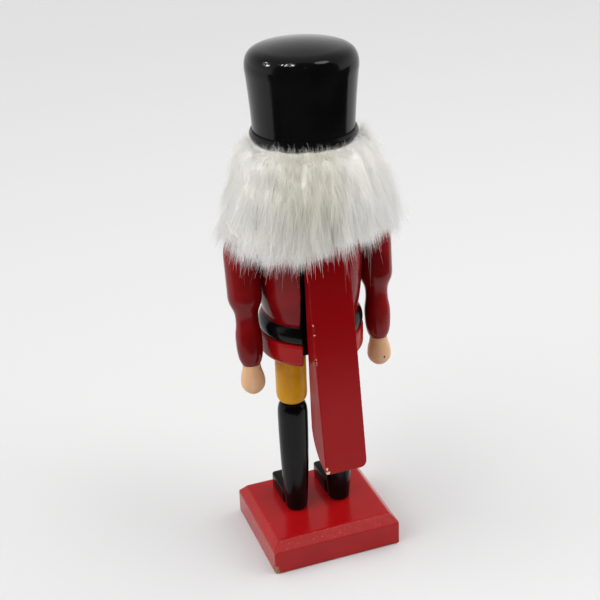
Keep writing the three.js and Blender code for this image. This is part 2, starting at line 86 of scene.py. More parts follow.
def drawLine(start, *legs, fineness=12):
    # each leg is a list: its end point alone for a straight line, or curve handles and then the end point
    points = [Vector(start)]
    for leg in legs:
        knots = [points[-1], *(Vector(knot) for knot in leg)]
        steps = fineness if len(knots) > 2 else 1
        points += [curvePoint(knots, k / steps) for k in range(1, steps + 1)]
    return points


def shadeSmooth(mesh, sharpAngle=40):
    mesh.shade_smooth()
    mesh.set_sharp_from_angle(angle=math.radians(sharpAngle))


def meshFrom(name, verts, faces):
    mesh = bpy.data.meshes.new(name)
    mesh.from_pydata([Vector(v) * mm for v in verts], [], faces)
    mesh.validate()
    shadeSmooth(mesh)
    return mesh


def stackFaces(count, levels):
    # faces that join rings of count points, one above the other, and close the first and the last
    faces = [list(range(count))[::-1], list(range((levels - 1) * count, levels * count))]
    for start in range(0, (levels - 1) * count, count):
        for k in range(count):
            after = (k + 1) % count
            faces.append([start + k, start + after, start + count + after, start + count + k])
    return faces


onAxis = 1e-6  # a point nearer the axis than this closes the turning


def turnProfile(name, points, sides):
    # points are (radius, height), from the axis at the bottom to the axis at the top
    verts, rings, faces = [], [], []
    for radius, height in points:
        start = len(verts)
        if radius < onAxis:
            verts.append((0, 0, height))
        else:
            turns = [2 * math.pi * k / sides for k in range(sides)]
            verts += [(radius * math.cos(a), radius * math.sin(a), height) for a in turns]
        rings.append(range(start, len(verts)))
    for low, high in zip(rings, rings[1:]):
        for k in range(sides):
            corners = [low[k % len(low)], low[(k + 1) % len(low)]]
            corners += [high[(k + 1) % len(high)], high[k % len(high)]]
            faces.append(list(dict.fromkeys(corners)))
    return meshFrom(name, verts, faces)


def sawOutline(name, outline, width):
    # an outline of (y, z) points cut out of a plank as wide as given, centred across X
    verts = [(side * width / 2, y, z) for side in (-1, 1) for y, z in outline]
    mesh = meshFrom(name, verts, stackFaces(len(outline), 2))
    faceOutward(mesh)
    return mesh


samePoint = 0.01 * mm  # points closer than this are one


def faceOutward(mesh):
    bm = bmesh.new()
    bm.from_mesh(mesh)
    bmesh.ops.remove_doubles(bm, verts=bm.verts, dist=samePoint)
    bmesh.ops.recalc_face_normals(bm, faces=bm.faces)
    bm.to_mesh(mesh)
    bm.free()


def plainMesh(holder, name):
    # the mesh that the holder's modifiers make; the holder itself goes
    depsgraph = bpy.context.evaluated_depsgraph_get()
    mesh = bpy.data.meshes.new_from_object(holder.evaluated_get(depsgraph), depsgraph=depsgraph)
    mesh.name = name
    holder.modifiers.clear()
    bpy.data.objects.remove(holder)
    return mesh


def finishMesh(mesh, *modifiers):
    # each modifier is (type, settings)
    holder = newObject("holder", mesh)
    for kind, settings in modifiers:
        modifier = holder.modifiers.new(kind.lower(), kind)
        for key, value in settings.items():
            setattr(modifier, key, value)
    return plainMesh(holder, mesh.name)


def softenEdges(mesh, radius, steps=3):
    sharpest = math.radians(35)
    settings = {"width": radius * mm, "segments": steps, "limit_method": "ANGLE", "angle_limit": sharpest}
    rounded = finishMesh(mesh, ("BEVEL", settings))
    shadeSmooth(rounded)
    return rounded


def skinMesh(mesh, voxel, smoothing):
    remesh = {"mode": "VOXEL", "voxel_size": voxel * mm}
    skin = finishMesh(mesh, ("REMESH", remesh), ("SMOOTH", {"factor": 0.5, "iterations": smoothing}))
    skin.shade_smooth()
    return skin


def cutAway(mesh, *cutters):
    for cutter in cutters:
        tool = newObject("cutter", cutter)
        mesh = finishMesh(mesh, ("BOOLEAN", {"object": tool, "operation": "DIFFERENCE", "solver": "EXACT"}))
        bpy.data.objects.remove(tool)
    return mesh


def blockMesh(low, high):
    corners = [(x, y, z) for x in (low[0], high[0]) for y in (low[1], high[1]) for z in (low[2], high[2])]
    faces = [(0, 1, 3, 2), (4, 6, 7, 5), (0, 4, 5, 1), (2, 3, 7, 6), (0, 2, 6, 4), (1, 5, 7, 3)]
    return meshFrom("block", corners, faces)


# Numbers kept on a mesh's points

def pointsOf(mesh, what="co"):
    values = np.empty(len(mesh.vertices) * 3)
    mesh.vertices.foreach_get(what, values)
    return values.reshape(-1, 3)


def movePoints(mesh, places):
    mesh.vertices.foreach_set("co", places.astype(np.float32).ravel())
    mesh.update()


def storeValues(mesh, **fields):
    for name, values in fields.items():
        kind, part = ("FLOAT_VECTOR", "vector") if values.ndim == 2 else ("FLOAT", "value")
        layer = mesh.attributes.get(name) or mesh.attributes.new(name, kind, "POINT")
        layer.data.foreach_set(part, values.astype(np.float32).ravel())


def relaxed(mesh, values, rounds):
    # each point's values averaged with its neighbours' again and again
    ends = np.empty(len(mesh.edges) * 2, int)
    mesh.edges.foreach_get("vertices", ends)
    ends = ends.reshape(-1, 2)
    tally = np.maximum(np.bincount(ends.ravel(), minlength=len(values)), 1)[:, None]
    for _ in range(rounds):
        total = np.stack([
            np.bincount(ends[:, 0], values[ends[:, 1], k], len(values))
            + np.bincount(ends[:, 1], values[ends[:, 0], k], len(values))
            for k in range(values.shape[1])
        ], axis=1)
        values = total / tally
    return values


def markEdges(mesh, rounds, rise):
    # 1 where the surface turns outward sharply, 0 on flats and in hollows
    places = pointsOf(mesh)
    lift = ((places - relaxed(mesh, places, rounds)) * pointsOf(mesh, "normal")).sum(axis=1)
    storeValues(mesh, edge=np.clip(lift / (rise * mm), 0, 1))


def waves(places, size, seed):
    # smooth noise of about -1 to 1 made of a few crossing ripples, about size across
    draw = np.random.default_rng(seed)
    total = np.zeros(len(places))
    rippleCount = 7
    for _ in range(rippleCount):
        aim = draw.normal(size=3)
        aim /= np.linalg.norm(aim)
        wave = size * mm * draw.uniform(0.7, 1.6)
        total += np.sin(places @ aim * 2 * math.pi / wave + draw.uniform(0, 6.3))
    return total / math.sqrt(rippleCount)


def smoothRamp(values, low, high):
    t = np.clip((values - low) / (high - low), 0, 1)
    return t * t * (3 - 2 * t)


def unitRows(vectors):
    return vectors / np.maximum(np.linalg.norm(vectors, axis=1, keepdims=True), 1e-9)


chipEdge = {"reach": 1.15, "ragged": 0.3, "blur": 0.35}  # in shares of the chip's radius


def chipAway(mesh, spots, seed):
    # dents at (place, radius, depth) spots, and a mark on the points that they bare
    places, normals = pointsOf(mesh), pointsOf(mesh, "normal")
    chip = np.zeros(len(places))
    for spot, radius, depth in spots:
        gap = np.linalg.norm(places - np.array(spot) * mm, axis=1) / (radius * mm)
        bite = chipEdge["reach"] - gap + chipEdge["ragged"] * waves(places, radius, seed)
        bite = smoothRamp(bite, 0, chipEdge["blur"])
        places = places - normals * (bite * depth * mm)[:, None]
        chip = np.maximum(chip, bite)
    movePoints(mesh, places)
    storeValues(mesh, chip=chip)


# Node trees

def socketOf(sockets, key):
    if isinstance(key, int):
        return sockets[key]
    return next(s for s in sockets if s.name == key and s.enabled)


def wire(tree, value, target):
    # value is another node's output or a plain value
    if isinstance(value, bpy.types.NodeSocket):
        tree.links.new(value, target)
    else:
        target.default_value = value


def addNode(tree, kind, wires=None, **settings):
    made = tree.nodes.new(kind)
    for key, value in settings.items():
        setattr(made, key, value)
    for key, value in (wires or {}).items():
        wire(tree, value, socketOf(made.inputs, key))
    return made


def maths(tree, operation, *values):
    made = addNode(tree, "ShaderNodeMath", dict(enumerate(values)), operation=operation)
    return made.outputs[0]


def vectors(tree, operation, *values, scale=None):
    wires = dict(enumerate(values))
    if scale is not None:
        wires["Scale"] = scale
    made = addNode(tree, "ShaderNodeVectorMath", wires, operation=operation)
    return made.outputs["Value" if operation in ("LENGTH", "DOT_PRODUCT", "DISTANCE") else "Vector"]


def ramp(tree, value, low, high, atLow=0.0, atHigh=1.0):
    wires = {"Value": value, "From Min": low, "From Max": high, "To Min": atLow, "To Max": atHigh}
    return addNode(tree, "ShaderNodeMapRange", wires, interpolation_type="SMOOTHSTEP").outputs["Result"]


def mixed(tree, factor, first, second):
    made = addNode(tree, "ShaderNodeMix", {"Factor": factor, "A": first, "B": second}, data_type="RGBA")
    return socketOf(made.outputs, "Result")


def axesOf(tree, place):
    return addNode(tree, "ShaderNodeSeparateXYZ", {"Vector": place}).outputs


def product(tree, *values):
    total = values[0]
    for value in values[1:]:
        total = maths(tree, "MULTIPLY", total, value)
    return total


def largest(tree, *values):
    total = values[0]
    for value in values[1:]:
        total = maths(tree, "MAXIMUM", total, value)
    return total


def noiseOf(tree, place, scale, detail=3.0, output="Fac"):
    made = addNode(tree, "ShaderNodeTexNoise", {"Vector": place, "Scale": scale, "Detail": detail})
    return made.outputs[output]


def stretched(tree, place, scale):
    made = addNode(tree, "ShaderNodeMapping", {"Vector": place, "Scale": scale})
    return made.outputs["Vector"]


def newGroup(name, kind, inputs, outputs):
    # inputs are (name, socket type, value or None), outputs are (name, socket type)
    tree = bpy.data.node_groups.new(name, kind)
    for label, socketType, value in inputs:
        made = tree.interface.new_socket(name=label, in_out="INPUT", socket_type=socketType)
        if value is not None:
            made.default_value = value
    for label, socketType in outputs:
        tree.interface.new_socket(name=label, in_out="OUTPUT", socket_type=socketType)
    return tree, addNode(tree, "NodeGroupInput"), addNode(tree, "NodeGroupOutput")


def send(tree, target, **values):
    for label, value in values.items():
        tree.links.new(value, target.inputs[label])


number, vector, colour = "NodeSocketFloat", "NodeSocketVector", "NodeSocketColor"


# Finishes: what several of them share

def paintSkinGroup():
    inputs = [("Place", vector, None), ("Patch Scale", number, 45.0), ("Ripple Scale", number, 420.0)]
    outputs = [("Tone", number), ("Ripple", number), ("Dust", number)]
    tree, given, sent = newGroup("paint skin", "ShaderNodeTree", inputs, outputs)
    place = given.outputs["Place"]
    patch = noiseOf(tree, place, given.outputs["Patch Scale"], 4.0)
    ripple = noiseOf(tree, place, given.outputs["Ripple Scale"], 2.0)
    speckScale = product(tree, given.outputs["Ripple Scale"], 4.0)
    dust = ramp(tree, noiseOf(tree, place, speckScale, 1.0), 0.72, 0.8)
    send(tree, sent, Tone=ramp(tree, patch, 0.3, 0.7), Ripple=ripple, Dust=dust)
    return tree


def brushMarksGroup():
    inputs = [("Place", vector, None), ("Stretch", vector, (300.0, 300.0, 30.0))]
    outputs = [("Tone", number), ("Height", number)]
    tree, given, sent = newGroup("brush marks", "ShaderNodeTree", inputs, outputs)
    drawn = vectors(tree, "MULTIPLY", given.outputs["Place"], given.outputs["Stretch"])
    hairs = noiseOf(tree, drawn, 3.0, 4.0)
    send(tree, sent, Tone=ramp(tree, hairs, 0.35, 0.65), Height=hairs)
    return tree


def wornEdgeGroup():
    inputs = [
        ("Place", vector, None), ("Edge", number, 0.0), ("Scale", number, 260.0), ("Amount", number, 0.5),
    ]
    outputs = [("Mask", number), ("Rub", number)]
    tree, given, sent = newGroup("worn edge", "ShaderNodeTree", inputs, outputs)
    grit = noiseOf(tree, given.outputs["Place"], given.outputs["Scale"], 5.0)
    total = maths(tree, "MULTIPLY_ADD", given.outputs["Edge"], given.outputs["Amount"], grit)
    send(tree, sent, Mask=ramp(tree, total, 0.98, 1.04), Rub=ramp(tree, total, 0.72, 1.0))
    return tree


def woodGrainGroup():
    inputs = [
        ("Place", vector, None), ("Stretch", vector, (160.0, 160.0, 14.0)),
        ("Pale", colour, (0.72, 0.5, 0.28, 1)), ("Dark", colour, (0.45, 0.26, 0.11, 1)),
    ]
    outputs = [("Color", colour), ("Height", number)]
    tree, given, sent = newGroup("wood grain", "ShaderNodeTree", inputs, outputs)
    drawn = vectors(tree, "MULTIPLY", given.outputs["Place"], given.outputs["Stretch"])
    bands = noiseOf(tree, drawn, 2.0, 6.0)
    pores = noiseOf(tree, drawn, 9.0, 2.0)
    grain = product(tree, ramp(tree, bands, 0.35, 0.7), ramp(tree, pores, 0.2, 0.6))
    send(tree, sent, Color=mixed(tree, grain, given.outputs["Pale"], given.outputs["Dark"]), Height=pores)
    return tree


def paintedSpotGroup():
    inputs = [
        ("Place", vector, None), ("Centre", vector, (0, 0, 0)), ("Size", vector, (0.003, 0.003, 0.003)),
        ("Blur", number, 0.08),
    ]
    tree, given, sent = newGroup("painted spot", "ShaderNodeTree", inputs, [("Mask", number)])
    away = vectors(tree, "SUBTRACT", given.outputs["Place"], given.outputs["Centre"])
    reach = vectors(tree, "LENGTH", vectors(tree, "DIVIDE", away, given.outputs["Size"]))
    inner = maths(tree, "SUBTRACT", 1.0, given.outputs["Blur"])
    outer = maths(tree, "ADD", 1.0, given.outputs["Blur"])
    send(tree, sent, Mask=ramp(tree, reach, inner, outer, 1.0, 0.0))
    return tree


groups = {
    "skin": paintSkinGroup(),
    "brush": brushMarksGroup(),
    "worn": wornEdgeGroup(),
    "grain": woodGrainGroup(),
    "spot": paintedSpotGroup(),
}


def useGroup(tree, name, **wires):
    made = addNode(tree, "ShaderNodeGroup", node_tree=groups[name])
    for key, value in wires.items():
        wire(tree, value, made.inputs[key.replace("_", " ")])
    return made.outputs


def startFinish(name, **sockets):
    # a material with its shader, whose plain values are set here, and the piece's own coordinates
    material = bpy.data.materials.new(name)
    material.use_nodes = True
    tree = material.node_tree
    tree.nodes.clear()
    shader = addNode(tree, "ShaderNodeBsdfPrincipled")
    output = addNode(tree, "ShaderNodeOutputMaterial")
    tree.links.new(shader.outputs["BSDF"], output.inputs["Surface"])
    for key, value in sockets.items():
        shader.inputs[key.replace("_", " ")].default_value = value
    place = addNode(tree, "ShaderNodeTexCoord").outputs["Object"]
    return material, tree, shader, place


def dress(tree, shader, base=None, roughness=None, height=None, depth=0.1):
    # depth is the bump's height in millimetres
    if base is not None:
        tree.links.new(base, shader.inputs["Base Color"])
    if roughness is not None:
        tree.links.new(roughness, shader.inputs["Roughness"])
    if height is not None:
        wires = {"Height": height, "Strength": 1.0, "Distance": depth * mm}
        bump = addNode(tree, "ShaderNodeBump", wires)
        tree.links.new(bump.outputs["Normal"], shader.inputs["Normal"])


def readValue(tree, name):
    return addNode(tree, "ShaderNodeAttribute", attribute_name=name).outputs["Fac"]


paints = {
    "deepRed": (0.31, 0.0033, 0.0047, 1),
    "brightRed": (0.375, 0.0055, 0.007, 1),
    "leverRed": (0.215, 0.0022, 0.0036, 1),
    "rubbedAndReflectedRed": (0.44, 0.05, 0.05, 1),
    "pitRed": (0.52, 0.15, 0.14, 1),
    "shadedBackFur": (0.80, 0.775, 0.68, 1),
    "coatRed": (0.21, 0.002, 0.0035, 1),
    "shadedRed": (0.135, 0.0013, 0.0022, 1),
    "black": (0.0016, 0.0016, 0.0018, 1),
    "softBlack": (0.004, 0.004, 0.0045, 1),
    "mustard": (0.62, 0.29, 0.006, 1),
    "darkMustard": (0.41, 0.148, 0.003, 1),
    "flesh": (0.66, 0.40, 0.22, 1),
    "warmFlesh": (0.56, 0.27, 0.12, 1),
    "rawWood": (0.78, 0.60, 0.40, 1),
    "dirtyWood": (0.22, 0.14, 0.08, 1),
    "white": (0.80, 0.78, 0.74, 1),
    "cheekRose": (0.66, 0.24, 0.19, 1),
    "irisBlue": (0.03, 0.09, 0.16, 1),
    "drawnSteel": (0.42, 0.42, 0.43, 1),
    "brightSteel": (0.6, 0.6, 0.61, 1),
    "hairRoot": (0.97, 0.955, 0.91, 1),
    "hairTip": (0.99, 0.988, 0.98, 1),
    "creamHair": (0.965, 0.945, 0.89, 1),
    "shadedFur": (0.93, 0.91, 0.86, 1),
    "paleFur": (0.98, 0.975, 0.96, 1),
}
gloss = {"unevenness": 1.5, "dust": 0.6}  # how much duller the dull patches are, how high the dust stands


def glossyCoat(tree, shader, skin, base, roughness, depth):
    # a smooth coat that flows a little, with dust caught in it
    sheen = ramp(tree, skin["Tone"], 0.0, 1.0, roughness, roughness * gloss["unevenness"])
    height = maths(tree, "MULTIPLY_ADD", skin["Dust"], gloss["dust"], skin["Ripple"])
    dress(tree, shader, base, sheen, height, depth)


def lacquer(name, first, second, roughness, depth=0.02, shine=0.33):
    material, tree, shader, place = startFinish(name, Specular_IOR_Level=shine)
    skin = useGroup(tree, "skin", Place=place)
    base = mixed(tree, skin["Tone"], paints[first], paints[second])
    glossyCoat(tree, shader, skin, base, roughness, depth)
    return material


satin = {
    "patchScale": 30.0, "wear": 0.24, "edgeRub": 0.35, "planedRub": 0.4,
    "bareFrom": 0.45, "bareTo": 0.6,  # how deep in a chip the wood begins
    "pitScale": 900.0, "pitFrom": 0.66, "pitTo": 0.74,
    "brushedGloss": (0.15, 0.23), "planedGloss": 0.5, "bareGloss": 0.7,
    "ripple": 0.4, "bareDepth": 2.0, "depth": 0.025,
    "sideFrom": 0.4, "sideTo": 0.8,  # faces that look this far sideways get no painted reflection
}


def satinPaint(name, stretch, first, second, wood, shine, paintedReflection=None):
    # one thick brushed coat on sawn wood, rubbed on its edges and chipped to the wood in places, and where asked
    # lighter low down as a painted reflection of the pale table
    material, tree, shader, place = startFinish(name, Specular_IOR_Level=shine)
    skin = useGroup(tree, "skin", Place=place, Patch_Scale=satin["patchScale"])
    brush = useGroup(tree, "brush", Place=place, Stretch=stretch)
    worn = useGroup(tree, "worn", Place=place, Edge=readValue(tree, "edge"), Amount=satin["wear"])
    grain = useGroup(tree, "grain", Place=place, Pale=paints[wood])
    planed = readValue(tree, "planed")
    base = mixed(tree, skin["Tone"], paints[first], paints[second])
    planedRub = product(tree, planed, satin["planedRub"])
    rubAndReflection = largest(tree, product(tree, worn["Rub"], satin["edgeRub"]), planedRub)
    # painted reflection: low on the back face the red turns lighter, as if it mirrored the pale table
    if paintedReflection:
        low, high, amount = paintedReflection
        reflectionMask = ramp(tree, axesOf(tree, place)["Z"], low * mm, high * mm, amount, 0.0)
        normal = addNode(tree, "ShaderNodeTexCoord").outputs["Normal"]
        sideways = maths(tree, "ABSOLUTE", axesOf(tree, normal)["X"])
        reflectionMask = product(tree, reflectionMask, ramp(tree, sideways, satin["sideFrom"], satin["sideTo"], 1.0, 0.0))
        rubAndReflection = largest(tree, rubAndReflection, reflectionMask)
    # rubbed edges, and the painted reflection where there is one, take the lighter red
    base = mixed(tree, rubAndReflection, base, paints["rubbedAndReflectedRed"])
    bare = ramp(tree, readValue(tree, "chip"), satin["bareFrom"], satin["bareTo"])
    bare = largest(tree, worn["Mask"], bare)
    base = mixed(tree, bare, base, grain["Color"])
    pits = ramp(tree, noiseOf(tree, place, satin["pitScale"], 2.0), satin["pitFrom"], satin["pitTo"])
    base = mixed(tree, product(tree, pits, planed), base, paints["pitRed"])
    sheen = ramp(tree, brush["Tone"], 0.0, 1.0, *satin["brushedGloss"])
    sheen = largest(tree, sheen, product(tree, planed, satin["planedGloss"]),
                    product(tree, bare, satin["bareGloss"]))
    height = maths(tree, "ADD", brush["Height"], product(tree, skin["Ripple"], satin["ripple"]))
    height = maths(tree, "SUBTRACT", height, product(tree, bare, satin["bareDepth"]))
    dress(tree, shader, base, sheen, height, satin["depth"])
    return material


def boxMask(tree, place, low, high, blur=0.3):
    # 1 inside a box given in millimetres, None for an open side, with its edges blurred
    axes = axesOf(tree, place)
    parts = []
    for axis, bottom, top in zip("XYZ", low, high):
        for limit, below, above in ((bottom, 0.0, 1.0), (top, 1.0, 0.0)):
            if limit is not None:
                parts.append(ramp(tree, axes[axis], (limit - blur) * mm, (limit + blur) * mm, below, above))
    return product(tree, *parts)


def wobble(tree, place, amount, scale=140.0):
    # a hand-painted line isn't straight
    shake = noiseOf(tree, place, scale, 2.0, "Color")
    shake = vectors(tree, "SUBTRACT", shake, (0.5, 0.5, 0.5))
    return vectors(tree, "ADD", place, vectors(tree, "SCALE", shake, scale=amount * mm))


def inMetres(sizes):
    return [size * mm for size in sizes]


def coatPaint():
    # red coat, darker above the belt than on the skirt as painted shade under the fur and arms, black belt on its
    # ridge and black in the lever's groove
    lap = torso["paintLap"]
    skirtTop = lowOf("torso").z + torso["skirtHeight"]
    beltTop = skirtTop + torso["beltHeight"]
    grooveHalf = torso["grooveHalf"] + lap
    material, tree, shader, place = startFinish("coat lacquer", Specular_IOR_Level=0.22)
    skin = useGroup(tree, "skin", Place=place)
    base = mixed(tree, skin["Tone"], paints["shadedRed"], paints["coatRed"])
    shaken = wobble(tree, place, torso["paintWobble"])
    # painted shade: only the skirt gets the lighter red, the coat above keeps the darker reds
    skirt = boxMask(tree, place, (None, None, None), (None, None, skirtTop))
    base = mixed(tree, skirt, base, paints["deepRed"])
    belt = boxMask(tree, shaken, (None, None, skirtTop + lap), (None, None, beltTop - lap))
    groove = boxMask(tree, shaken, (-grooveHalf, 0, None), (grooveHalf, None, None))
    dark = mixed(tree, skin["Tone"], paints["black"], paints["softBlack"])
    base = mixed(tree, largest(tree, belt, groove), base, dark)
    glossyCoat(tree, shader, skin, base, torso["roughness"], torso["ripple"])
    return material


def handPaint():
    # thin flesh paint over wood, with the grain just showing
    material, tree, shader, place = startFinish("hand paint", Coat_Weight=0.1, Coat_Roughness=0.3)
    skin = useGroup(tree, "skin", Place=place, Patch_Scale=hand["patchScale"])
    grain = useGroup(tree, "grain", Place=place, Pale=paints["flesh"], Dark=paints["warmFlesh"])
    base = mixed(tree, hand["grain"], paints["flesh"], grain["Color"])
    base = mixed(tree, product(tree, skin["Tone"], hand["warmth"]), base, paints["warmFlesh"])
    centre, size = inMetres(hand["speck"]), inMetres([hand["speckSize"]] * 3)
    speck = useGroup(tree, "spot", Place=place, Centre=centre, Size=size)
    base = mixed(tree, speck["Mask"], base, paints["softBlack"])
    sheen = ramp(tree, skin["Tone"], 0.0, 1.0, *hand["gloss"])
    dress(tree, shader, base, sheen, grain["Height"], hand["depth"])
    return material


def bareWood():
    material, tree, shader, place = startFinish("dowel wood")
    grain = useGroup(tree, "grain", Place=place)
    sheen = ramp(tree, grain["Height"], 0.0, 1.0, 0.55, 0.8)
    dress(tree, shader, grain["Color"], sheen, grain["Height"], 0.05)
    return material


def pinSteel():
    material, tree, shader, place = startFinish("pin steel", Metallic=1.0)
    draw = noiseOf(tree, stretched(tree, place, (60, 900, 900)), 2.0, 4.0)
    base = mixed(tree, draw, paints["drawnSteel"], paints["brightSteel"])
    dress(tree, shader, base, ramp(tree, draw, 0.2, 0.8, 0.28, 0.45), draw, 0.01)
    return material


# where the painted shade lies on the middle of the fur's back, and how strong it is
backShade = {
    "across": 10, "full": 6, "gone": 26,  # its middle, and how far from there it is full and gone
    "front": 10, "back": 30, "low": 204, "high": 224, "amount": 0.65, "atHem": 0.25,
}


def paintedBackShade(tree, place, base):
    # painted shade: the middle of the back is darker and a little yellower, less so at the hem
    axes = axesOf(tree, place)
    offset = maths(tree, "ABSOLUTE", maths(tree, "SUBTRACT", axes["X"], backShade["across"] * mm))
    across = ramp(tree, offset, backShade["full"] * mm, backShade["gone"] * mm, backShade["amount"], 0.0)
    behind = ramp(tree, axes["Y"], backShade["front"] * mm, backShade["back"] * mm)
    above = ramp(tree, axes["Z"], backShade["low"] * mm, backShade["high"] * mm, backShade["atHem"], 1.0)
    return mixed(tree, product(tree, across, behind, above), base, paints["shadedBackFur"])


def furFinish():
    # white guard hairs, creamier and a little darker at the root, partly painted shade deep in the fur, each lock
    # a little different
    material, tree, shader, place = startFinish("white fur", Roughness=0.7, Specular_IOR_Level=0.2)
    along = readValue(tree, "along")
    tone = readValue(tree, "tone")
    base = mixed(tree, ramp(tree, along, 0.0, 0.7), paints["hairRoot"], paints["hairTip"])
    base = mixed(tree, ramp(tree, tone, 0.55, 1.0, 0.0, 0.35), base, paints["creamHair"])
    dress(tree, shader, paintedBackShade(tree, place, base))
    return material


def underfurFinish():
    material, tree, shader, place = startFinish("fur roots", Specular_IOR_Level=0.1)
    strands = noiseOf(tree, stretched(tree, place, (900, 900, 90)), 1.0, 5.0)
    base = paintedBackShade(tree, place, mixed(tree, strands, paints["shadedFur"], paints["paleFur"]))
    dress(tree, shader, base, ramp(tree, strands, 0.2, 0.8, 0.8, 1.0), strands, 0.6)
    return material


# Adding a piece

def addPiece(name, mesh, material, body="figure", stands=()):
    piece = newObject(name, mesh)
    mesh.materials.clear()
    mesh.materials.append(material)
    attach(piece, body)
    if stands:
        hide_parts(*stands)


def shift(x=0, y=0, z=0):
    return Matrix.Translation(Vector((x, y, z)) * mm)


def addTurned(name, profile, sides, place, finish, node):
    # place is the matrix that stands the turning where its node is
    mesh = turnProfile(name, profile, sides)
    mesh.transform(place)
    addPiece(name, mesh, finish, stands=[node])


# Plinth: a sawn block with planed top edges, softened by many coats and knocked on its corners

plinth = {
    "chamferInset": 4.5,
    "chamferRise": 5.4,
    "edgeRound": 0.7,
    "voxel": 0.62,
    "sawMarks": 0.09,  # how rough the near planed edge is left
    "longMarks": 3.2, "shortMarks": 1.5, "shortShare": 0.7,
    "smoothSide": 0.25,  # share of the marks on the other planed edges
    "chips": [((39.1, 34.6, 1.2), 1.9, 0.4), ((39.1, 34.6, 3.2), 1.7, 0.4), ((38.9, 34.7, 5.0), 1.4, 0.3)],
}


def makePlinth():
    low, high = cornersOf("plinth")
    middle = middleOf("plinth")
    half = (high - low) / 2
    wallTop = high.z - plinth["chamferRise"]
    levels = ((low.z, 0), (wallTop, 0), (high.z, plinth["chamferInset"]))
    corners = ((1, 1), (-1, 1), (-1, -1), (1, -1))
    verts = []
    for height, inset in levels:
        for sx, sy in corners:
            verts.append((middle.x + sx * (half.x - inset), middle.y + sy * (half.y - inset), height))
    block = meshFrom("plinth_block", verts, stackFaces(len(corners), len(levels)))
    mesh = skinMesh(softenEdges(block, plinth["edgeRound"]), plinth["voxel"], 1)
    places, normals = pointsOf(mesh), pointsOf(mesh, "normal")
    planed = smoothRamp(normals[:, 2], 0.35, 0.5) * (1 - smoothRamp(normals[:, 2], 0.85, 0.97))
    near = planed * smoothRamp(normals[:, 1], 0.3, 0.5)  # the near one was left roughest
    marks = waves(places * np.array([1, 1, 0.4]), plinth["longMarks"], 11)
    marks += plinth["shortShare"] * waves(places, plinth["shortMarks"], 12)
    marks *= plinth["sawMarks"] * (plinth["smoothSide"] * planed + (1 - plinth["smoothSide"]) * near)
    movePoints(mesh, places + normals * (marks * mm)[:, None])
    storeValues(mesh, planed=near)
    chipAway(mesh, plinth["chips"], 13)
    markEdges(mesh, 10, 0.28)
    paint = satinPaint("plinth paint", (60, 300, 300), "brightRed", "deepRed", "dirtyWood", 0.3)
    addPiece("painted_plinth", mesh, paint, stands=["plinth"])


# Legs: boot, thigh and shoe on either side

boot = {"footRadius": 6.6, "topRadius": 8.8, "footRound": 2, "kneeRound": 9, "kneeRadius": 5, "sides": 72}
thigh = {"radius": 9, "kneeRound": 6, "kneeRadius": 5, "hipRound": 0.6, "sides": 72}
shoe = {"edgeRound": 0.9, "cornerRadius": 2.5, "heelInside": 5}


def makeLegs():
    black = lacquer("boot lacquer", "black", "softBlack", 0.17, shine=0.2)
    yellow = lacquer("thigh lacquer", "mustard", "darkMustard", 0.2, shine=0.2)
    for side in sideSigns:
        node = f"{side}_boot"
        low, high = cornersOf(node)
        axis = middleOf(node)
        standing = shift(axis.x, axis.y)
        foot, wide, rounding = boot["footRadius"], boot["topRadius"], boot["footRound"]
        knee = high.z - boot["kneeRound"]
        profile = drawLine(
            (0, low.z), [(foot - rounding, low.z)], [(foot, low.z), (foot, low.z + rounding)],
            [(wide, (low.z + knee) / 2), (wide, knee)],
            [(wide, high.z), (boot["kneeRadius"], high.z)], [(0, high.z)],
        )
        addTurned(node + "_turned", profile, boot["sides"], standing, black, node)

        node = f"{side}_thigh"
        low, high = cornersOf(node)
        wide, rounding = thigh["radius"], thigh["hipRound"]
        profile = drawLine(
            (0, low.z), [(thigh["kneeRadius"], low.z)],
            [(wide, low.z), (wide, low.z + thigh["kneeRound"])], [(wide, high.z - rounding)],
            [(wide, high.z), (wide - rounding, high.z)], [(0, high.z)],
        )
        addTurned(node + "_turned", profile, thigh["sides"], standing, yellow, node)
        makeShoe(side, axis, black)


def makeShoe(side, axis, finish):
    low, high = cornersOf(f"{side}_shoe")
    corner, heel = shoe["cornerRadius"], axis.y - shoe["heelInside"]
    outline = drawLine(
        (high.x, heel), [(low.x, heel)], [(low.x, low.y + corner)],
        [(low.x, low.y), (low.x + corner, low.y)], [(high.x - corner, low.y)],
        [(high.x, low.y), (high.x, low.y + corner)], fineness=8,
    )
    verts = [(x, y, z) for z in (low.z, high.z) for x, y in outline]
    block = meshFrom(f"{side}_shoe_block", verts, stackFaces(len(outline), 2))
    faceOutward(block)
    mesh = softenEdges(block, shoe["edgeRound"])
    addPiece(f"{side}_shoe_block", mesh, finish, stands=[f"{side}_shoe"])


# Torso: skirt, belt ridge and coat turned from one block, with the lever's groove down its back

torso = {
    "skirtRadius": 29.7, "skirtHeight": 13.7, "skirtRound": 4, "grooveDepth": 1.7,
    "beltBulge": 30.2, "beltHeight": 10.4,
    "waistRadius": 26.4, "coatRadius": 29.65, "flareHeight": 29,
    "shoulderDrop": 14, "shoulderInset": 8,
    "grooveHalf": 13.9, "grooveFloor": 12, "grooveLip": 0.9,
    "flatAcross": 29.05, "flatHeight": 36.5, "throatHeight": 57.9,
    "paintLap": 0.4, "paintWobble": 0.9,  # how far one paint laps over another, and how unsteadily
    "roughness": 0.16, "ripple": 0.02,
    "sides": 144,
}


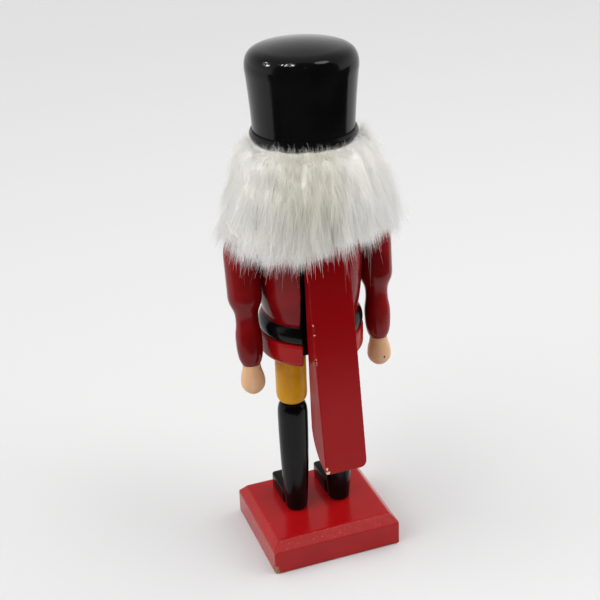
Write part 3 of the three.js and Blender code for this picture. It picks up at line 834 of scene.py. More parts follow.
def torsoRing(radius, flat):
    # one level of the torso as (x, y) points, round the front and in and out of the groove
    half, lip, floor = torso["grooveHalf"], torso["grooveLip"], torso["grooveFloor"]
    mouth = math.sqrt(radius ** 2 - half ** 2)
    shoulder = math.sqrt(radius ** 2 - (half + lip) ** 2)
    start = math.atan2(shoulder, half + lip)
    wall = drawLine(
        (half, floor), [(half, (floor + mouth - lip) / 2)], [(half, mouth - lip)],
        [(half, mouth), (half + lip, shoulder)], fineness=5,
    )
    sweep = 2 * math.pi - (math.pi - 2 * start)
    count = torso["sides"]
    arc = [start - sweep * k / count for k in range(1, count)]
    ring = [tuple(p) for p in wall] + [(radius * math.cos(a), radius * math.sin(a)) for a in arc]
    ring += [(-x, y) for x, y in ring[:len(wall)][::-1]]
    ring += [(-half / 2, floor), (half / 2, floor)]
    return [(max(-flat, min(flat, x)), y) for x, y in ring][::-1]


def makeTorso():
    low, high = cornersOf("torso")
    height = high.z - low.z
    skirt, skirtTop, rounding = torso["skirtRadius"], torso["skirtHeight"], torso["skirtRound"]
    beltTop, bulge, flare = skirtTop + torso["beltHeight"], torso["beltBulge"], torso["flareHeight"]
    groove, coat = torso["grooveDepth"], torso["coatRadius"]
    profile = drawLine(
        (skirt - rounding, 0), [(skirt, 0), (skirt, rounding)], [(skirt, skirtTop - groove)],
        [(skirt, skirtTop - groove / 4), (skirt - groove, skirtTop)],
        [(bulge, skirtTop + groove / 2), (bulge, beltTop - groove), (torso["waistRadius"], beltTop)],
        [(coat - groove / 2, beltTop + flare / 4), (coat, beltTop + flare)],
        [(coat, height - torso["shoulderDrop"])], [(coat, height), (coat - torso["shoulderInset"], height)],
    )
    verts = []
    for radius, z in profile:
        flat = torso["flatAcross"] if z > torso["flatHeight"] else 2 * coat
        verts += [(x, y, low.z + z) for x, y in torsoRing(radius, flat)]
    mesh = meshFrom("turned_torso", verts, stackFaces(len(verts) // len(profile), len(profile)))
    faceOutward(mesh)
    half, far = torso["grooveHalf"], 2 * coat
    throat = blockMesh((-half, -far, low.z + torso["throatHeight"]), (half, far, high.z + far))
    mesh = cutAway(mesh, throat)
    shadeSmooth(mesh, 35)
    addPiece("turned_torso", mesh, coatPaint(), stands=["torso"])


# Head, nose and hat

head = {"radius": 25.6, "edgeRound": 3, "mouthHalf": 13.9, "mouthHeight": 16, "sides": 112}
nose = {
    "tenonRadius": 2.1, "length": 9.0, "baseRadius": 3.15, "swell": 4.83, "swellPlace": 4.5,
    "budRadius": 3.78, "budPlace": 2.7, "tipRound": 2.94, "sides": 40,
}
hat = {
    "rimRadius": 29.2, "rimHeight": 4.6, "rimRound": 1.2, "neckRadius": 27.2,
    "crownRadius": 29.7, "crownHeight": 37.2, "edgeDrop": 6.8, "domeRise": 4, "sides": 160,
    # nicks along the crown's edge as (place, half sizes)
    "nicks": [((23.5, 15.0, 296.2), (2.2, 2.0, 0.9)), ((15.0, 22.5, 296.6), (4.0, 3.0, 0.4)),
              ((7.5, 26.5, 295.2), (0.5, 1.0, 0.4))],
    "nickBlur": 0.4, "nickDull": 0.5, "nickDepth": 3.0, "gloss": (0.10, 0.15), "dust": 0.5,
}
face = {
    "eyeAcross": 8.6, "eyeHeight": 35.5, "eyeSize": (4.6, 8, 3.2), "irisSize": (2.5, 8, 2.7),
    "browHeight": 41.2, "browSize": (5.6, 9, 1.25),
    "cheekAcross": 13.2, "cheekHeight": 26, "cheekSize": (5.2, 9, 4.4),
    "whiskerAcross": 6.2, "whiskerHeight": 21.8, "whiskerSize": (7.4, 10, 2.3),
    "patchScale": 70.0, "warmth": 0.3, "wobble": 0.5, "gloss": (0.3, 0.42), "ripple": 0.03,
}
teeth = {
    "half": 11.5, "width": 3.83, "line": 0.28, "blur": 0.15, "front": -15.36, "upper": 2.6, "lower": 5.0,
}
lip = {"half": 10, "front": -20, "low": 7.4, "high": 5.4}  # its heights are below the jaw's top


def fleshPaint(name):
    material, tree, shader, place = startFinish(name, Coat_Weight=0.25, Coat_Roughness=0.15)
    skin = useGroup(tree, "skin", Place=place, Patch_Scale=face["patchScale"])
    base = mixed(tree, product(tree, skin["Tone"], face["warmth"]), paints["flesh"], paints["warmFlesh"])
    sheen = ramp(tree, skin["Tone"], 0.0, 1.0, *face["gloss"])
    dress(tree, shader, None, sheen, skin["Ripple"], face["ripple"])
    return material, tree, shader, place, base


def facePaint():
    # painted eyes, brows, cheeks, moustache and upper teeth on the front of the head
    material, tree, shader, place, base = fleshPaint("face paint")
    bottom = lowOf("head").z
    shaken = wobble(tree, place, face["wobble"])
    spots = [  # in the order of painting: which, how high, its size, its paint and its blur
        ("cheekAcross", "cheekHeight", "cheekSize", "cheekRose", 0.7),
        ("eyeAcross", "eyeHeight", "eyeSize", "white", 0.06),
        ("eyeAcross", "eyeHeight", "irisSize", "irisBlue", 0.08),
        ("eyeAcross", "browHeight", "browSize", "white", 0.15),
        ("whiskerAcross", "whiskerHeight", "whiskerSize", "white", 0.12),
    ]
    for sign in sideSigns.values():
        for across, height, size, paint, blur in spots:
            centre = inMetres((sign * face[across], -head["radius"], bottom + face[height]))
            spot = useGroup(tree, "spot", Place=shaken, Blur=blur, Size=inMetres(face[size]), Centre=centre)
            base = mixed(tree, spot["Mask"], base, paints[paint])
    mouth = bottom + head["mouthHeight"]
    dress(tree, shader, paintTeeth(tree, place, base, mouth, mouth + teeth["upper"]))
    return material


def paintTeeth(tree, place, base, low, high):
    # a band of teeth on the front, and the dark lines between them
    half, line = teeth["half"], teeth["line"]
    band = boxMask(tree, place, (-half, None, low), (half, teeth["front"], high), teeth["blur"])
    across = maths(tree, "ADD", axesOf(tree, place)["X"], half * mm)
    step = maths(tree, "PINGPONG", across, teeth["width"] / 2 * mm)
    gap = ramp(tree, step, line / 2 * mm, line * mm, 1.0, 0.0)
    base = mixed(tree, band, base, paints["white"])
    return mixed(tree, product(tree, band, gap), base, paints["softBlack"])


def jawPaint():
    material, tree, shader, place, base = fleshPaint("jaw paint")
    top = highOf("jaw").z
    shaken = wobble(tree, place, face["wobble"])
    low, high = (-lip["half"], None, top - lip["low"]), (lip["half"], lip["front"], top - lip["high"])
    red = boxMask(tree, shaken, low, high)
    base = mixed(tree, red, base, paints["brightRed"])
    dress(tree, shader, paintTeeth(tree, place, base, top - teeth["lower"], top + 1))
    return material


def makeHead():
    low, high = cornersOf("head")
    radius, rounding, far = head["radius"], head["edgeRound"], 2 * head["radius"]
    profile = drawLine(
        (0, low.z), [(radius - rounding, low.z)], [(radius, low.z), (radius, low.z + rounding)],
        [(radius, high.z - rounding)], [(radius, high.z), (radius - rounding, high.z)], [(0, high.z)],
    )
    half, lipHeight = head["mouthHalf"], low.z + head["mouthHeight"]
    mouth = blockMesh((-half, -far, low.z - far), (half, far, lipHeight))
    mesh = cutAway(turnProfile("turned_head", profile, head["sides"]), mouth)
    shadeSmooth(mesh, 35)
    addPiece("turned_head", mesh, facePaint(), stands=["head"])


def makeNose():
    low, high = cornersOf("nose")
    middle = middleOf("nose")
    tip, root = 0, -(high.y - low.y)
    tenon, length = nose["tenonRadius"], nose["length"]
    profile = drawLine(
        (0, root), [(tenon, root)], [(tenon, -length)], [(nose["baseRadius"], -length)],
        [(nose["swell"], -nose["swellPlace"]), (nose["budRadius"], -nose["budPlace"])],
        [(nose["tipRound"], tip), (0, tip)],
    )
    facing = shift(middle.x, low.y, middle.z) @ Matrix.Rotation(math.pi / 2, 4, "X")
    finish = lacquer("nose paint", "flesh", "warmFlesh", 0.32, 0.03)
    addTurned("turned_nose", profile, nose["sides"], facing, finish, "nose")


def hatPaint():
    # black lacquer with a few nicks along the crown's edge that show the pale filler
    material, tree, shader, place = startFinish("hat lacquer", Specular_IOR_Level=0.26)
    skin = useGroup(tree, "skin", Place=place, Ripple_Scale=260.0)
    base = mixed(tree, skin["Tone"], paints["black"], paints["softBlack"])
    grit = ramp(tree, noiseOf(tree, place, 1300.0, 2.0), 0.5, 0.6)
    spots = []
    for centre, size in hat["nicks"]:
        centre, size = inMetres(centre), inMetres(size)
        spot = useGroup(tree, "spot", Place=place, Centre=centre, Size=size, Blur=hat["nickBlur"])
        spots.append(spot["Mask"])
    nick = product(tree, largest(tree, *spots), grit)
    base = mixed(tree, nick, base, paints["white"])
    sheen = ramp(tree, skin["Tone"], 0.0, 1.0, *hat["gloss"])
    sheen = maths(tree, "MULTIPLY_ADD", nick, hat["nickDull"], sheen)
    height = maths(tree, "MULTIPLY_ADD", skin["Dust"], hat["dust"], skin["Ripple"])
    height = maths(tree, "SUBTRACT", height, product(tree, nick, hat["nickDepth"]))
    dress(tree, shader, base, sheen, height, 0.03)
    return material


def makeHat():
    low, high = cornersOf("hat")
    rim, rise, edge, neck = hat["rimRadius"], hat["rimHeight"], hat["rimRound"], hat["neckRadius"]
    crown, tall, drop, dome = hat["crownRadius"], hat["crownHeight"], hat["edgeDrop"], hat["domeRise"]
    height = high.z - low.z
    shoulder = height - dome
    profile = drawLine(
        (0, 0), [(rim - edge, 0)], [(rim + edge / 2, rise / 2), (rim - edge, rise)], [(neck, rise)],
        [(neck + (crown - neck) / 4, (rise + tall) / 2), (crown, tall)],
        [(crown, shoulder - drop / 3), (crown - drop / 3, shoulder), (crown - drop, shoulder + dome / 3)],
        [((crown - drop) / 2, height), (0, height)], fineness=16,
    )
    standing = shift(z=low.z)
    addTurned("turned_hat", profile, hat["sides"], standing, hatPaint(), "hat")


# Arms: a turned sleeve and a turned hand along the leaning arm

arm = {
    "leftLean": 7.6, "rightLean": 4.9, "across": 38.85, "back": 0.8, "height": 190,
    "sleeveRadius": 9.5, "sleeveTop": 13.4, "upperDepth": 22, "elbowDepth": 36, "elbowRadius": 6.3,
    "forearmDepth": 48.5, "forearmRadius": 7.4, "length": 62.6, "cuffRadius": 5, "topFullness": 0.6,
    "glueLine": 0.3, "sides": 80,
}
hand = {
    "length": 17.8, "radius": 6.8, "widest": 10.8, "wristRadius": 5, "tenonRadius": 2.8, "tenonLength": 8,
    "patchScale": 90.0, "grain": 0.45, "warmth": 0.25, "gloss": (0.36, 0.5), "depth": 0.04,
    "speck": (-39.3, 13.9, 117), "speckSize": 0.6,  # a fleck of black paint on the right hand
}


def sleeveProfile():
    length, cuff, fore = arm["length"], arm["cuffRadius"], arm["forearmRadius"]
    elbow, top = arm["elbowRadius"], arm["sleeveTop"]
    elbowHalf = (arm["forearmDepth"] - arm["elbowDepth"]) / 2
    upperHalf = (arm["elbowDepth"] - arm["upperDepth"]) / 2
    wide, full = arm["sleeveRadius"], arm["topFullness"]
    foreZ, elbowZ, upperZ = -arm["forearmDepth"], -arm["elbowDepth"], -arm["upperDepth"]
    return drawLine(
        (0, -length), [(cuff, -length)],
        [(fore, -length + elbowHalf / 2), (fore, foreZ - elbowHalf / 2), (fore, foreZ)],
        [(fore, foreZ + elbowHalf), (elbow, elbowZ - elbowHalf), (elbow, elbowZ)],
        [(elbow, elbowZ + upperHalf), (wide, upperZ - upperHalf), (wide, upperZ)],
        [(wide, 0)], [(wide, top * full), (wide * full, top), (0, top)],
    )


def handProfile():
    length, radius, wrist, widest = hand["length"], hand["radius"], hand["wristRadius"], hand["widest"]
    tenon, tenonTop = hand["tenonRadius"], hand["tenonLength"]
    tipHalf = (length - widest) / 2
    return drawLine(
        (0, -length), [(radius - tipHalf, -length), (radius, -widest - tipHalf), (radius, -widest)],
        [(radius, -widest / 2), (wrist, -widest / 3), (wrist, 0)],
        [(tenon, 0)], [(tenon, tenonTop)], [(0, tenonTop)],
    )


def makeArms():
    # painted shade: the sleeves take the darker reds, for the shade under the fur
    red = lacquer("sleeve lacquer", "shadedRed", "coatRed", 0.17, shine=0.27)
    flesh = handPaint()
    for side, sign in sideSigns.items():
        lean = Matrix.Rotation(math.radians(arm[f"{side}Lean"]), 4, "X")
        shoulder = shift(sign * arm["across"], arm["back"], arm["height"]) @ lean
        wrist = shoulder @ shift(z=-(arm["length"] + arm["glueLine"]))
        node = f"{side}_sleeve"
        addTurned(node + "_turned", sleeveProfile(), arm["sides"], shoulder, red, node)
        node = f"{side}_hand"
        addTurned(node + "_turned", handProfile(), arm["sides"], wrist, flesh, node)


# Lever and jaw, which swing together on the cross pin

lever = {
    "armAbove": 11, "armBelow": 6, "back": 31, "rake": 9.6, "drop": 124.4, "tailRadius": 23,
    "neck": 7.2, "neckDrop": 14, "fillet": 7, "topRound": 5, "armFront": -7.85,
    "edgeRound": 0.7, "voxel": 0.62,
    "cornerRound": 5.5,
    # chips as (place, radius, depth)
    "chips": [((11.7, 52.0, 74.0), 1.5, 0.4), ((12.1, 51.8, 76.6), 1.2, 0.4),
              ((12.25, 37.4, 159.0), 0.6, 0.2), ((12.25, 38.4, 153.5), 0.6, 0.2),
              ((12.25, 40.7, 140.0), 0.55, 0.2), ((12.25, 41.0, 138.4), 0.6, 0.2),
              ((12.25, 41.3, 136.8), 0.55, 0.2)],
    "paintedReflection": (100, 160, 0.28),  # painted reflection of the pale table: the paint turns lighter below the first height, fading out by the second, by this much
}
jaw = {"chinRound": 4, "edgeRound": 0.8}


def roundTailCorner(mesh, side, bottom):
    # the tail's corner on the figure's right is worn round
    places, worn = pointsOf(mesh), lever["cornerRound"]
    away = np.stack([side + worn - places[:, 0] / mm, bottom + worn - places[:, 2] / mm], axis=1)
    gap = np.linalg.norm(away, axis=1)
    inside = (away > 0).all(axis=1) & (gap > worn)
    draw = np.where(inside, 1 - worn / np.maximum(gap, worn), 0)
    places[:, 0] += away[:, 0] * draw * mm
    places[:, 2] += away[:, 1] * draw * mm
    movePoints(mesh, places)


def makeLever():
    pin = frame["joints"][0]["pos_m"][2] / mm
    low, high = cornersOf("lever")
    slope = math.tan(math.radians(lever["rake"]))

    def rear(z):
        return lever["back"] - z * slope

    drop, neckDrop, tail, front = lever["drop"], lever["neckDrop"], lever["tailRadius"], lever["armFront"]
    above, below, rounding = lever["armAbove"], lever["armBelow"], lever["topRound"]
    neck, tip = rear(-neckDrop) - lever["neck"], rear(-drop)
    outline = drawLine(
        (front, -below), [(neck - lever["fillet"], -below)], [(neck, -below), (neck, -neckDrop)],
        [(tip - tail, -drop + tail)],
    )
    centre = Vector((tip, -drop + tail))
    steps = 24
    bend = [math.pi + math.pi / 2 * k / steps for k in range(1, steps + 1)]
    outline += [centre + tail * Vector((math.cos(a), math.sin(a))) for a in bend]
    outline += drawLine(
        (rear(above - rounding), above - rounding),
        [(rear(above), above), (rear(above) - rounding, above)], [(front, above)],
    )
    plank = sawOutline("lever_plank", [(y, z + pin) for y, z in outline], high.x - low.x)
    mesh = skinMesh(softenEdges(plank, lever["edgeRound"]), lever["voxel"], 2)
    roundTailCorner(mesh, low.x, pin - drop)
    chipAway(mesh, lever["chips"], 21)
    markEdges(mesh, 10, 0.24)
    paint = satinPaint("lever paint", (300, 60, 22), "leverRed", "coatRed", "rawWood", 0.06, lever["paintedReflection"])
    addPiece("lever_plank", mesh, paint, bodyOf["lever"], ["lever"])


def makeJaw():
    low, high = cornersOf("jaw")
    chin = jaw["chinRound"]
    outline = drawLine(
        (high.y, low.z), [(high.y, high.z)], [(low.y, high.z)], [(low.y, low.z + chin)],
        [(low.y, low.z), (low.y + chin, low.z)], fineness=8,
    )
    mesh = softenEdges(sawOutline("jaw_block", outline, high.x - low.x), jaw["edgeRound"])
    addPiece("jaw_block", mesh, jawPaint(), bodyOf["jaw"], ["jaw"])


# Fur: strands that grow out of a soft pad, lie along its flow and gather into locks

hairFur = {
    "voxel": 1.3, "inset": 4.0, "topInset": 0.6, "topBand": 14, "lump": 0.9, "lumpSize": 10,
    # where the tips end: turn from the face towards the left in degrees, and height
    "hem": [(65, 196), (100, 195.5), (122, 192), (140, 194.5), (155, 195.5),
            (172, 199), (190, 203.5), (215, 203), (240, 201), (295, 198)],
    "hemPad": 5.0, "hemSquash": 0.2,  # the pad stops this far above the tips, and is pressed flat below
    "fullDrop": 15.0, "shortest": 0.25,  # hairs that start lower than this above the hem are cut shorter
    "topReach": 0.45, "topReachBand": 20, "reachWave": 0.12, "reachWaveSize": 14,
    "spread": 0.25, "topLift": 0.5,  # how far hairs lean outward, and stand up at the top
    "rightLift": 0.3, "rightTurn": (190, 230),  # the right side stands off more
    "leftTuck": 4.5, "leftTurn": (125, 165),  # and the left side is pressed flat half way down
    "tuckFrom": (3, 18), "tuckTo": (34, 50),
    "underFrom": 31, "underTo": 35,  # the underside has fur from this far out
    "slotSpare": 1.5, "wallSpare": 1.2, "sleeveSpare": 7, "sleeveBack": 13,  # clear of lever and sleeves
    "faceEdge": 70,  # up to this turn the cut edge beside the face is covered too
    "topGrowth": 5.0, "topRadius": 28.6,  # the top grows hair down to this depth and in to this radius
    "layers": {
        "hair_down": {
            "density": 1.9, "rootRadius": 0.06, "length": 16.0, "lift": 0.20, "sag": 0.06, "ruffle": 0.20,
            "stray": 0.18, "lockSpacing": 2.3, "lockPull": 0.4, "seed": 1, "pieces": 4,
        },
        "hair_guard": {
            "density": 0.24, "rootRadius": 0.15, "length": 19.0, "lift": 0.15, "sag": 0.06, "ruffle": 0.16,
            "stray": 0.10, "lockSpacing": 3.4, "lockPull": 0.5, "seed": 51, "pieces": 2,
        },
        "hair_wisps": {
            "density": 1.6, "rootRadius": 0.06, "length": 6.5, "lift": 0.1, "sag": 0.0, "ruffle": 0.6,
            "stray": 0.55, "lockSpacing": 2.6, "lockPull": 0.9, "seed": 71, "pieces": 1,
            "rimBand": 3.6, "rimRadius": 29.4, "rimSpread": 0.3,
        },
        "hair_strays": {
            "density": 0.012, "rootRadius": 0.06, "length": 30.0, "lift": 0.12, "sag": 0.10, "ruffle": 0.55,
            "stray": 0.20, "lockSpacing": 3.4, "lockPull": 0.0, "seed": 91, "pieces": 1,
        },
    },
}
beardFur = {
    "voxel": 1.1, "inset": 3.0, "topInset": 2.0, "topBand": 6, "lump": 0.5, "lumpSize": 7,
    "density": 3.4, "rootRadius": 0.07, "length": 13.0, "lift": 0.28, "sag": 0.06, "ruffle": 0.22,
    "stray": 0.10, "lockSpacing": 2.4, "lockPull": 0.8, "seed": 9,
    "spread": 6, "forward": 0.45, "topReach": 0.6,
}
strand = {
    "shortest": 0.6, "longest": 1.1,  # shares of the length that it is given
    "swirlScale": 85.0, "settle": -0.45, "bendPower": 1.7, "tip": 0.12, "sides": 3, "parts": 3,
    "lockTone": 0.6, "ownTone": 0.4,
}


def strandTree():
    inputs = [
        ("Geometry", "NodeSocketGeometry", None), ("Seed", "NodeSocketInt", 1),
        ("Material", "NodeSocketMaterial", None),
    ]
    sizes = strandValues(beardFur, beardFur["seed"])
    inputs += [(name, number, value) for name, value in sizes.items() if name != "Seed"]
    outputs = [("Geometry", "NodeSocketGeometry")]
    tree, given, sent = newGroup("fur strands", "GeometryNodeTree", inputs, outputs)
    tree.is_modifier = True
    want = given.outputs

    def attribute(name, kind):
        made = addNode(tree, "GeometryNodeInputNamedAttribute", {"Name": name}, data_type=kind)
        return socketOf(made.outputs, "Attribute")

    def chance(low, high, seed, kind="FLOAT"):
        wires = {"Min": low, "Max": high, "Seed": maths(tree, "ADD", want["Seed"], seed)}
        return socketOf(addNode(tree, "FunctionNodeRandomValue", wires, data_type=kind).outputs, "Value")

    def store(geometry, name, value, kind):
        wires = {"Geometry": geometry, "Name": name, "Value": value}
        made = addNode(tree, "GeometryNodeStoreNamedAttribute", wires, data_type=kind, domain="POINT")
        return made.outputs["Geometry"]

    # where the strands and the middles of the locks stand
    grow = attribute("grow", "FLOAT")
    density = product(tree, want["Density"], grow)
    wires = {"Mesh": want["Geometry"], "Density": density, "Seed": want["Seed"]}
    roots = addNode(tree, "GeometryNodeDistributePointsOnFaces", wires)
    wires = {"Mesh": want["Geometry"], "Distance Min": want["Lock Spacing"], "Seed": want["Seed"]}
    wires["Density Max"] = 1e6  # more than the spacing lets stand
    locks = addNode(tree, "GeometryNodeDistributePointsOnFaces", wires, distribute_method="POISSON")
    lockPoints = locks.outputs["Points"]
    here = addNode(tree, "GeometryNodeInputPosition").outputs["Position"]
    wires = {"Geometry": lockPoints, "Sample Position": here}
    nearest = addNode(tree, "GeometryNodeSampleNearest", wires).outputs["Index"]
    wires = {"Geometry": lockPoints, "Value": here, "Index": nearest}
    sampled = addNode(tree, "GeometryNodeSampleIndex", wires, data_type="FLOAT_VECTOR")
    lockPlace = socketOf(sampled.outputs, "Value")

    # how each strand leaves the pad, how long it is and where its tip is drawn to
    flow, reach = attribute("flow", "FLOAT_VECTOR"), attribute("reach", "FLOAT")
    normal = roots.outputs["Normal"]
    length = product(tree, want["Length"], reach, chance(strand["shortest"], strand["longest"], 11))
    lift = product(tree, want["Lift"], attribute("rise", "FLOAT"))
    flat = maths(tree, "SUBTRACT", 1.0, lift)
    aim = vectors(tree, "SCALE", normal, scale=lift)
    aim = vectors(tree, "ADD", vectors(tree, "SCALE", flow, scale=flat), aim)
    shake = chance((-1, -1, -1), (1, 1, 1), 12, "FLOAT_VECTOR")
    aim = vectors(tree, "ADD", aim, vectors(tree, "SCALE", shake, scale=want["Stray"]))
    swirl = noiseOf(tree, here, strand["swirlScale"], 3.0, "Color")
    swirl = vectors(tree, "SUBTRACT", swirl, (0.5, 0.5, 0.5))
    bend = vectors(tree, "SCALE", swirl, scale=product(tree, want["Ruffle"], 2.0))
    settle = product(tree, lift, strand["settle"])
    bend = vectors(tree, "ADD", bend, vectors(tree, "SCALE", normal, scale=settle))
    bend = vectors(tree, "ADD", bend, vectors(tree, "SCALE", (0, 0, -1), scale=want["Sag"]))
    bend = vectors(tree, "SCALE", bend, scale=length)
    pull = vectors(tree, "SCALE", vectors(tree, "SUBTRACT", lockPlace, here), scale=want["Lock Pull"])
    bend = vectors(tree, "ADD", bend, pull)
    lockTone = addNode(tree, "FunctionNodeRandomValue", {"ID": nearest, "Seed": 3}, data_type="FLOAT")
    lockTone = socketOf(lockTone.outputs, "Value")
    ownTone = chance(0.0, strand["ownTone"], 13)
    tone = maths(tree, "MULTIPLY_ADD", lockTone, strand["lockTone"], ownTone)
    points = store(roots.outputs["Points"], "bend", bend, "FLOAT_VECTOR")
    points = store(points, "tone", tone, "FLOAT")

    # one thin tapered strand on every root, then bent
    wires = {"Vertices": strand["sides"], "Side Segments": strand["parts"]}
    wires.update({"Radius Top": strand["tip"], "Radius Bottom": 1.0, "Depth": 1.0})
    cone = addNode(tree, "GeometryNodeMeshCone", wires, fill_type="NGON")
    oneHair = store(cone.outputs["Mesh"], "along", axesOf(tree, here)["Z"], "FLOAT")
    turn = addNode(tree, "FunctionNodeAlignRotationToVector", {"Vector": aim}, axis="Z").outputs["Rotation"]
    wires = {"X": want["Root Radius"], "Y": want["Root Radius"], "Z": length}
    size = addNode(tree, "ShaderNodeCombineXYZ", wires).outputs["Vector"]
    wires = {"Points": points, "Instance": oneHair, "Rotation": turn, "Scale": size}
    placed = addNode(tree, "GeometryNodeInstanceOnPoints", wires)
    real = addNode(tree, "GeometryNodeRealizeInstances", {"Geometry": placed.outputs["Instances"]})
    share = maths(tree, "POWER", attribute("along", "FLOAT"), strand["bendPower"])
    offset = vectors(tree, "SCALE", attribute("bend", "FLOAT_VECTOR"), scale=share)
    wires = {"Geometry": real.outputs["Geometry"], "Offset": offset}
    bent = addNode(tree, "GeometryNodeSetPosition", wires)
    smooth = addNode(tree, "GeometryNodeSetShadeSmooth", {"Geometry": bent.outputs["Geometry"]})
    wires = {"Geometry": smooth.outputs["Geometry"], "Material": want["Material"]}
    done = addNode(tree, "GeometryNodeSetMaterial", wires)
    tree.links.new(done.outputs["Geometry"], sent.inputs["Geometry"])
    return tree


def growStrands(name, pad, tree, material, values):
    holder = newObject(name + "_roots", pad)
    modifier = holder.modifiers.new("strands", "NODES")
    modifier.node_group = tree
    values = {**values, "Material": material}
    for socket in tree.interface.items_tree:
        if socket.in_out == "INPUT" and socket.name in values:
            modifier[socket.identifier] = values[socket.name]
    mesh = plainMesh(holder, name)
    for spare in ("bend", "flow", "reach", "grow", "rise"):
        if spare in mesh.attributes:
            mesh.attributes.remove(mesh.attributes[spare])
    return mesh


def furPad(node, shape, outwardOf):
    # the soft body under the strands: the fur's own outline drawn in and made lumpy
    outline = frame["nodes"][node].data.copy()
    outline.name = node + "_pad"
    faceOutward(outline)
    pad = skinMesh(outline, shape["voxel"], 6)
    places, normals = pointsOf(pad), pointsOf(pad, "normal")
    outward = relaxed(pad, outwardOf(places, normals)[:, None], 4)[:, 0]
    depth = highOf(node).z - places[:, 2] / mm
    deeper = (shape["inset"] - shape["topInset"]) * smoothRamp(depth, 0, shape["topBand"])
    inset = shape["topInset"] + deeper
    inset -= shape["lump"] * waves(places * np.array([1, 1, 0.45]), shape["lumpSize"], 31)
    movePoints(pad, places - normals * (outward * inset * mm)[:, None])
    return pad, outward


def strandValues(shape, seed):
    # the tree's inputs by their names
    return {
        "Density": shape["density"] / mm ** 2, "Seed": seed, "Root Radius": shape["rootRadius"] * mm,
        "Length": shape["length"] * mm, "Lift": shape["lift"], "Sag": shape["sag"],
        "Ruffle": shape["ruffle"], "Stray": shape["stray"],
        "Lock Spacing": shape["lockSpacing"] * mm, "Lock Pull": shape["lockPull"],
    }


def spreadFlow(normals, pull):
    # strands lie along the surface, drawn the way that pull points
    hold = 0.75  # share of the pull out of the surface that is taken away
    against = (pull * normals).sum(axis=1, keepdims=True)
    return unitRows(pull - hold * normals * against)


def radialOf(places):
    return unitRows(places * np.array([1, 1, 0]))


def acrossOf(places):
    return np.linalg.norm(places[:, :2], axis=1) / mm


def hairOutward(places, normals):
    # 1 on the fur's outside and on its underside, 0 against the head and in the lever's slot
    facing = smoothRamp((radialOf(places) * normals).sum(axis=1), -0.2, 0.35)
    under = smoothRamp(-normals[:, 2], 0.2, 0.5)
    under *= smoothRamp(acrossOf(places), hairFur["underFrom"], hairFur["underTo"])
    slotHalf = (torso["grooveHalf"] + hairFur["slotSpare"]) * mm
    inSlot = (np.abs(places[:, 0]) < slotHalf) & (places[:, 1] > 0) & (normals[:, 1] < -0.2)
    return np.where(inSlot, 0, np.maximum(facing, under))


def makeHair(tree, fur, roots):
    pad, outward = furPad("hair", hairFur, hairOutward)
    places = pointsOf(pad)
    turn = np.degrees(np.arctan2(places[:, 0], -places[:, 1])) % 360
    hem = np.interp(turn, *zip(*hairFur["hem"]))
    padEnd = (hem + hairFur["hemPad"]) * mm
    depth = highOf("hair").z - places[:, 2] / mm
    tuck = smoothRamp(depth, *hairFur["tuckFrom"]) * (1 - smoothRamp(depth, *hairFur["tuckTo"]))
    tuck *= 1 - smoothRamp(turn, *hairFur["leftTurn"])
    places -= radialOf(places) * (tuck * outward * hairFur["leftTuck"] * mm)[:, None]
    squashed = padEnd + hairFur["hemSquash"] * (places[:, 2] - padEnd)
    places[:, 2] = np.where(places[:, 2] < padEnd, squashed, places[:, 2])
    movePoints(pad, places)
    normals = pointsOf(pad, "normal")
    radial = radialOf(places)
    height = places[:, 2] / mm
    across = acrossOf(places)
    depth = highOf("hair").z - height
    sleeveEnd = highOf("left_sleeve").z + hairFur["sleeveSpare"]
    onSleeve = (height < sleeveEnd) & (normals[:, 2] < -0.45) & (places[:, 1] < hairFur["sleeveBack"] * mm)
    wallEnd = (torso["grooveHalf"] + hairFur["wallSpare"]) * mm
    slotWall = (np.abs(places[:, 0]) < wallEnd) & (np.abs(normals[:, 0]) > 0.6) & (places[:, 1] > 0)
    byFace = (turn < hairFur["faceEdge"]) | (turn > 360 - hairFur["faceEdge"])
    onTop = (depth < hairFur["topGrowth"]) & (across > hairFur["topRadius"])
    grow = np.maximum(smoothRamp(outward, 0.35, 0.6), byFace | onTop) * ~onSleeve * ~slotWall
    flow = spreadFlow(normals, np.array([0, 0, -1.0]) + hairFur["spread"] * radial)
    standing = hairFur["topLift"] * (1 - smoothRamp(depth, 0, hairFur["topBand"]))
    flow = unitRows(flow + normals * standing[:, None])
    reach = np.clip((height - hem) / hairFur["fullDrop"], hairFur["shortest"], 1)
    reach *= hairFur["topReach"] + (1 - hairFur["topReach"]) * smoothRamp(depth, 0, hairFur["topReachBand"])
    reach *= 1 + hairFur["reachWave"] * waves(places, hairFur["reachWaveSize"], 32)
    rise = 1 + hairFur["rightLift"] * smoothRamp(turn, *hairFur["rightTurn"])
    storeValues(pad, flow=flow, reach=reach, rise=rise)
    for layerName, layer in hairFur["layers"].items():
        ends = np.linspace(0, 1, layer["pieces"] + 1)
        order = np.quantile(turn[grow > 0.5], ends)
        order[0], order[-1] = 0, 360
        for k in range(layer["pieces"]):
            patch = pad.copy()
            storeValues(patch, grow=grow * ((turn >= order[k]) & (turn < order[k + 1])))
            if "rimBand" in layer:  # these stand up against the hat
                atRim = grow * (depth < layer["rimBand"]) * (across > layer["rimRadius"])
                upward = unitRows(layer["rimSpread"] * radial + np.array([0, 0, 1.0]))
                storeValues(patch, grow=atRim, flow=upward, reach=np.ones(len(places)))
            name = f"{layerName}_{k + 1}"
            mesh = growStrands(name, patch, tree, fur, strandValues(layer, layer["seed"] + k))
            addPiece(name, mesh, fur)
            print(f"  {name}: {len(mesh.loop_triangles)} triangles")
    addPiece("hair_pad", pad, roots, stands=["hair"])


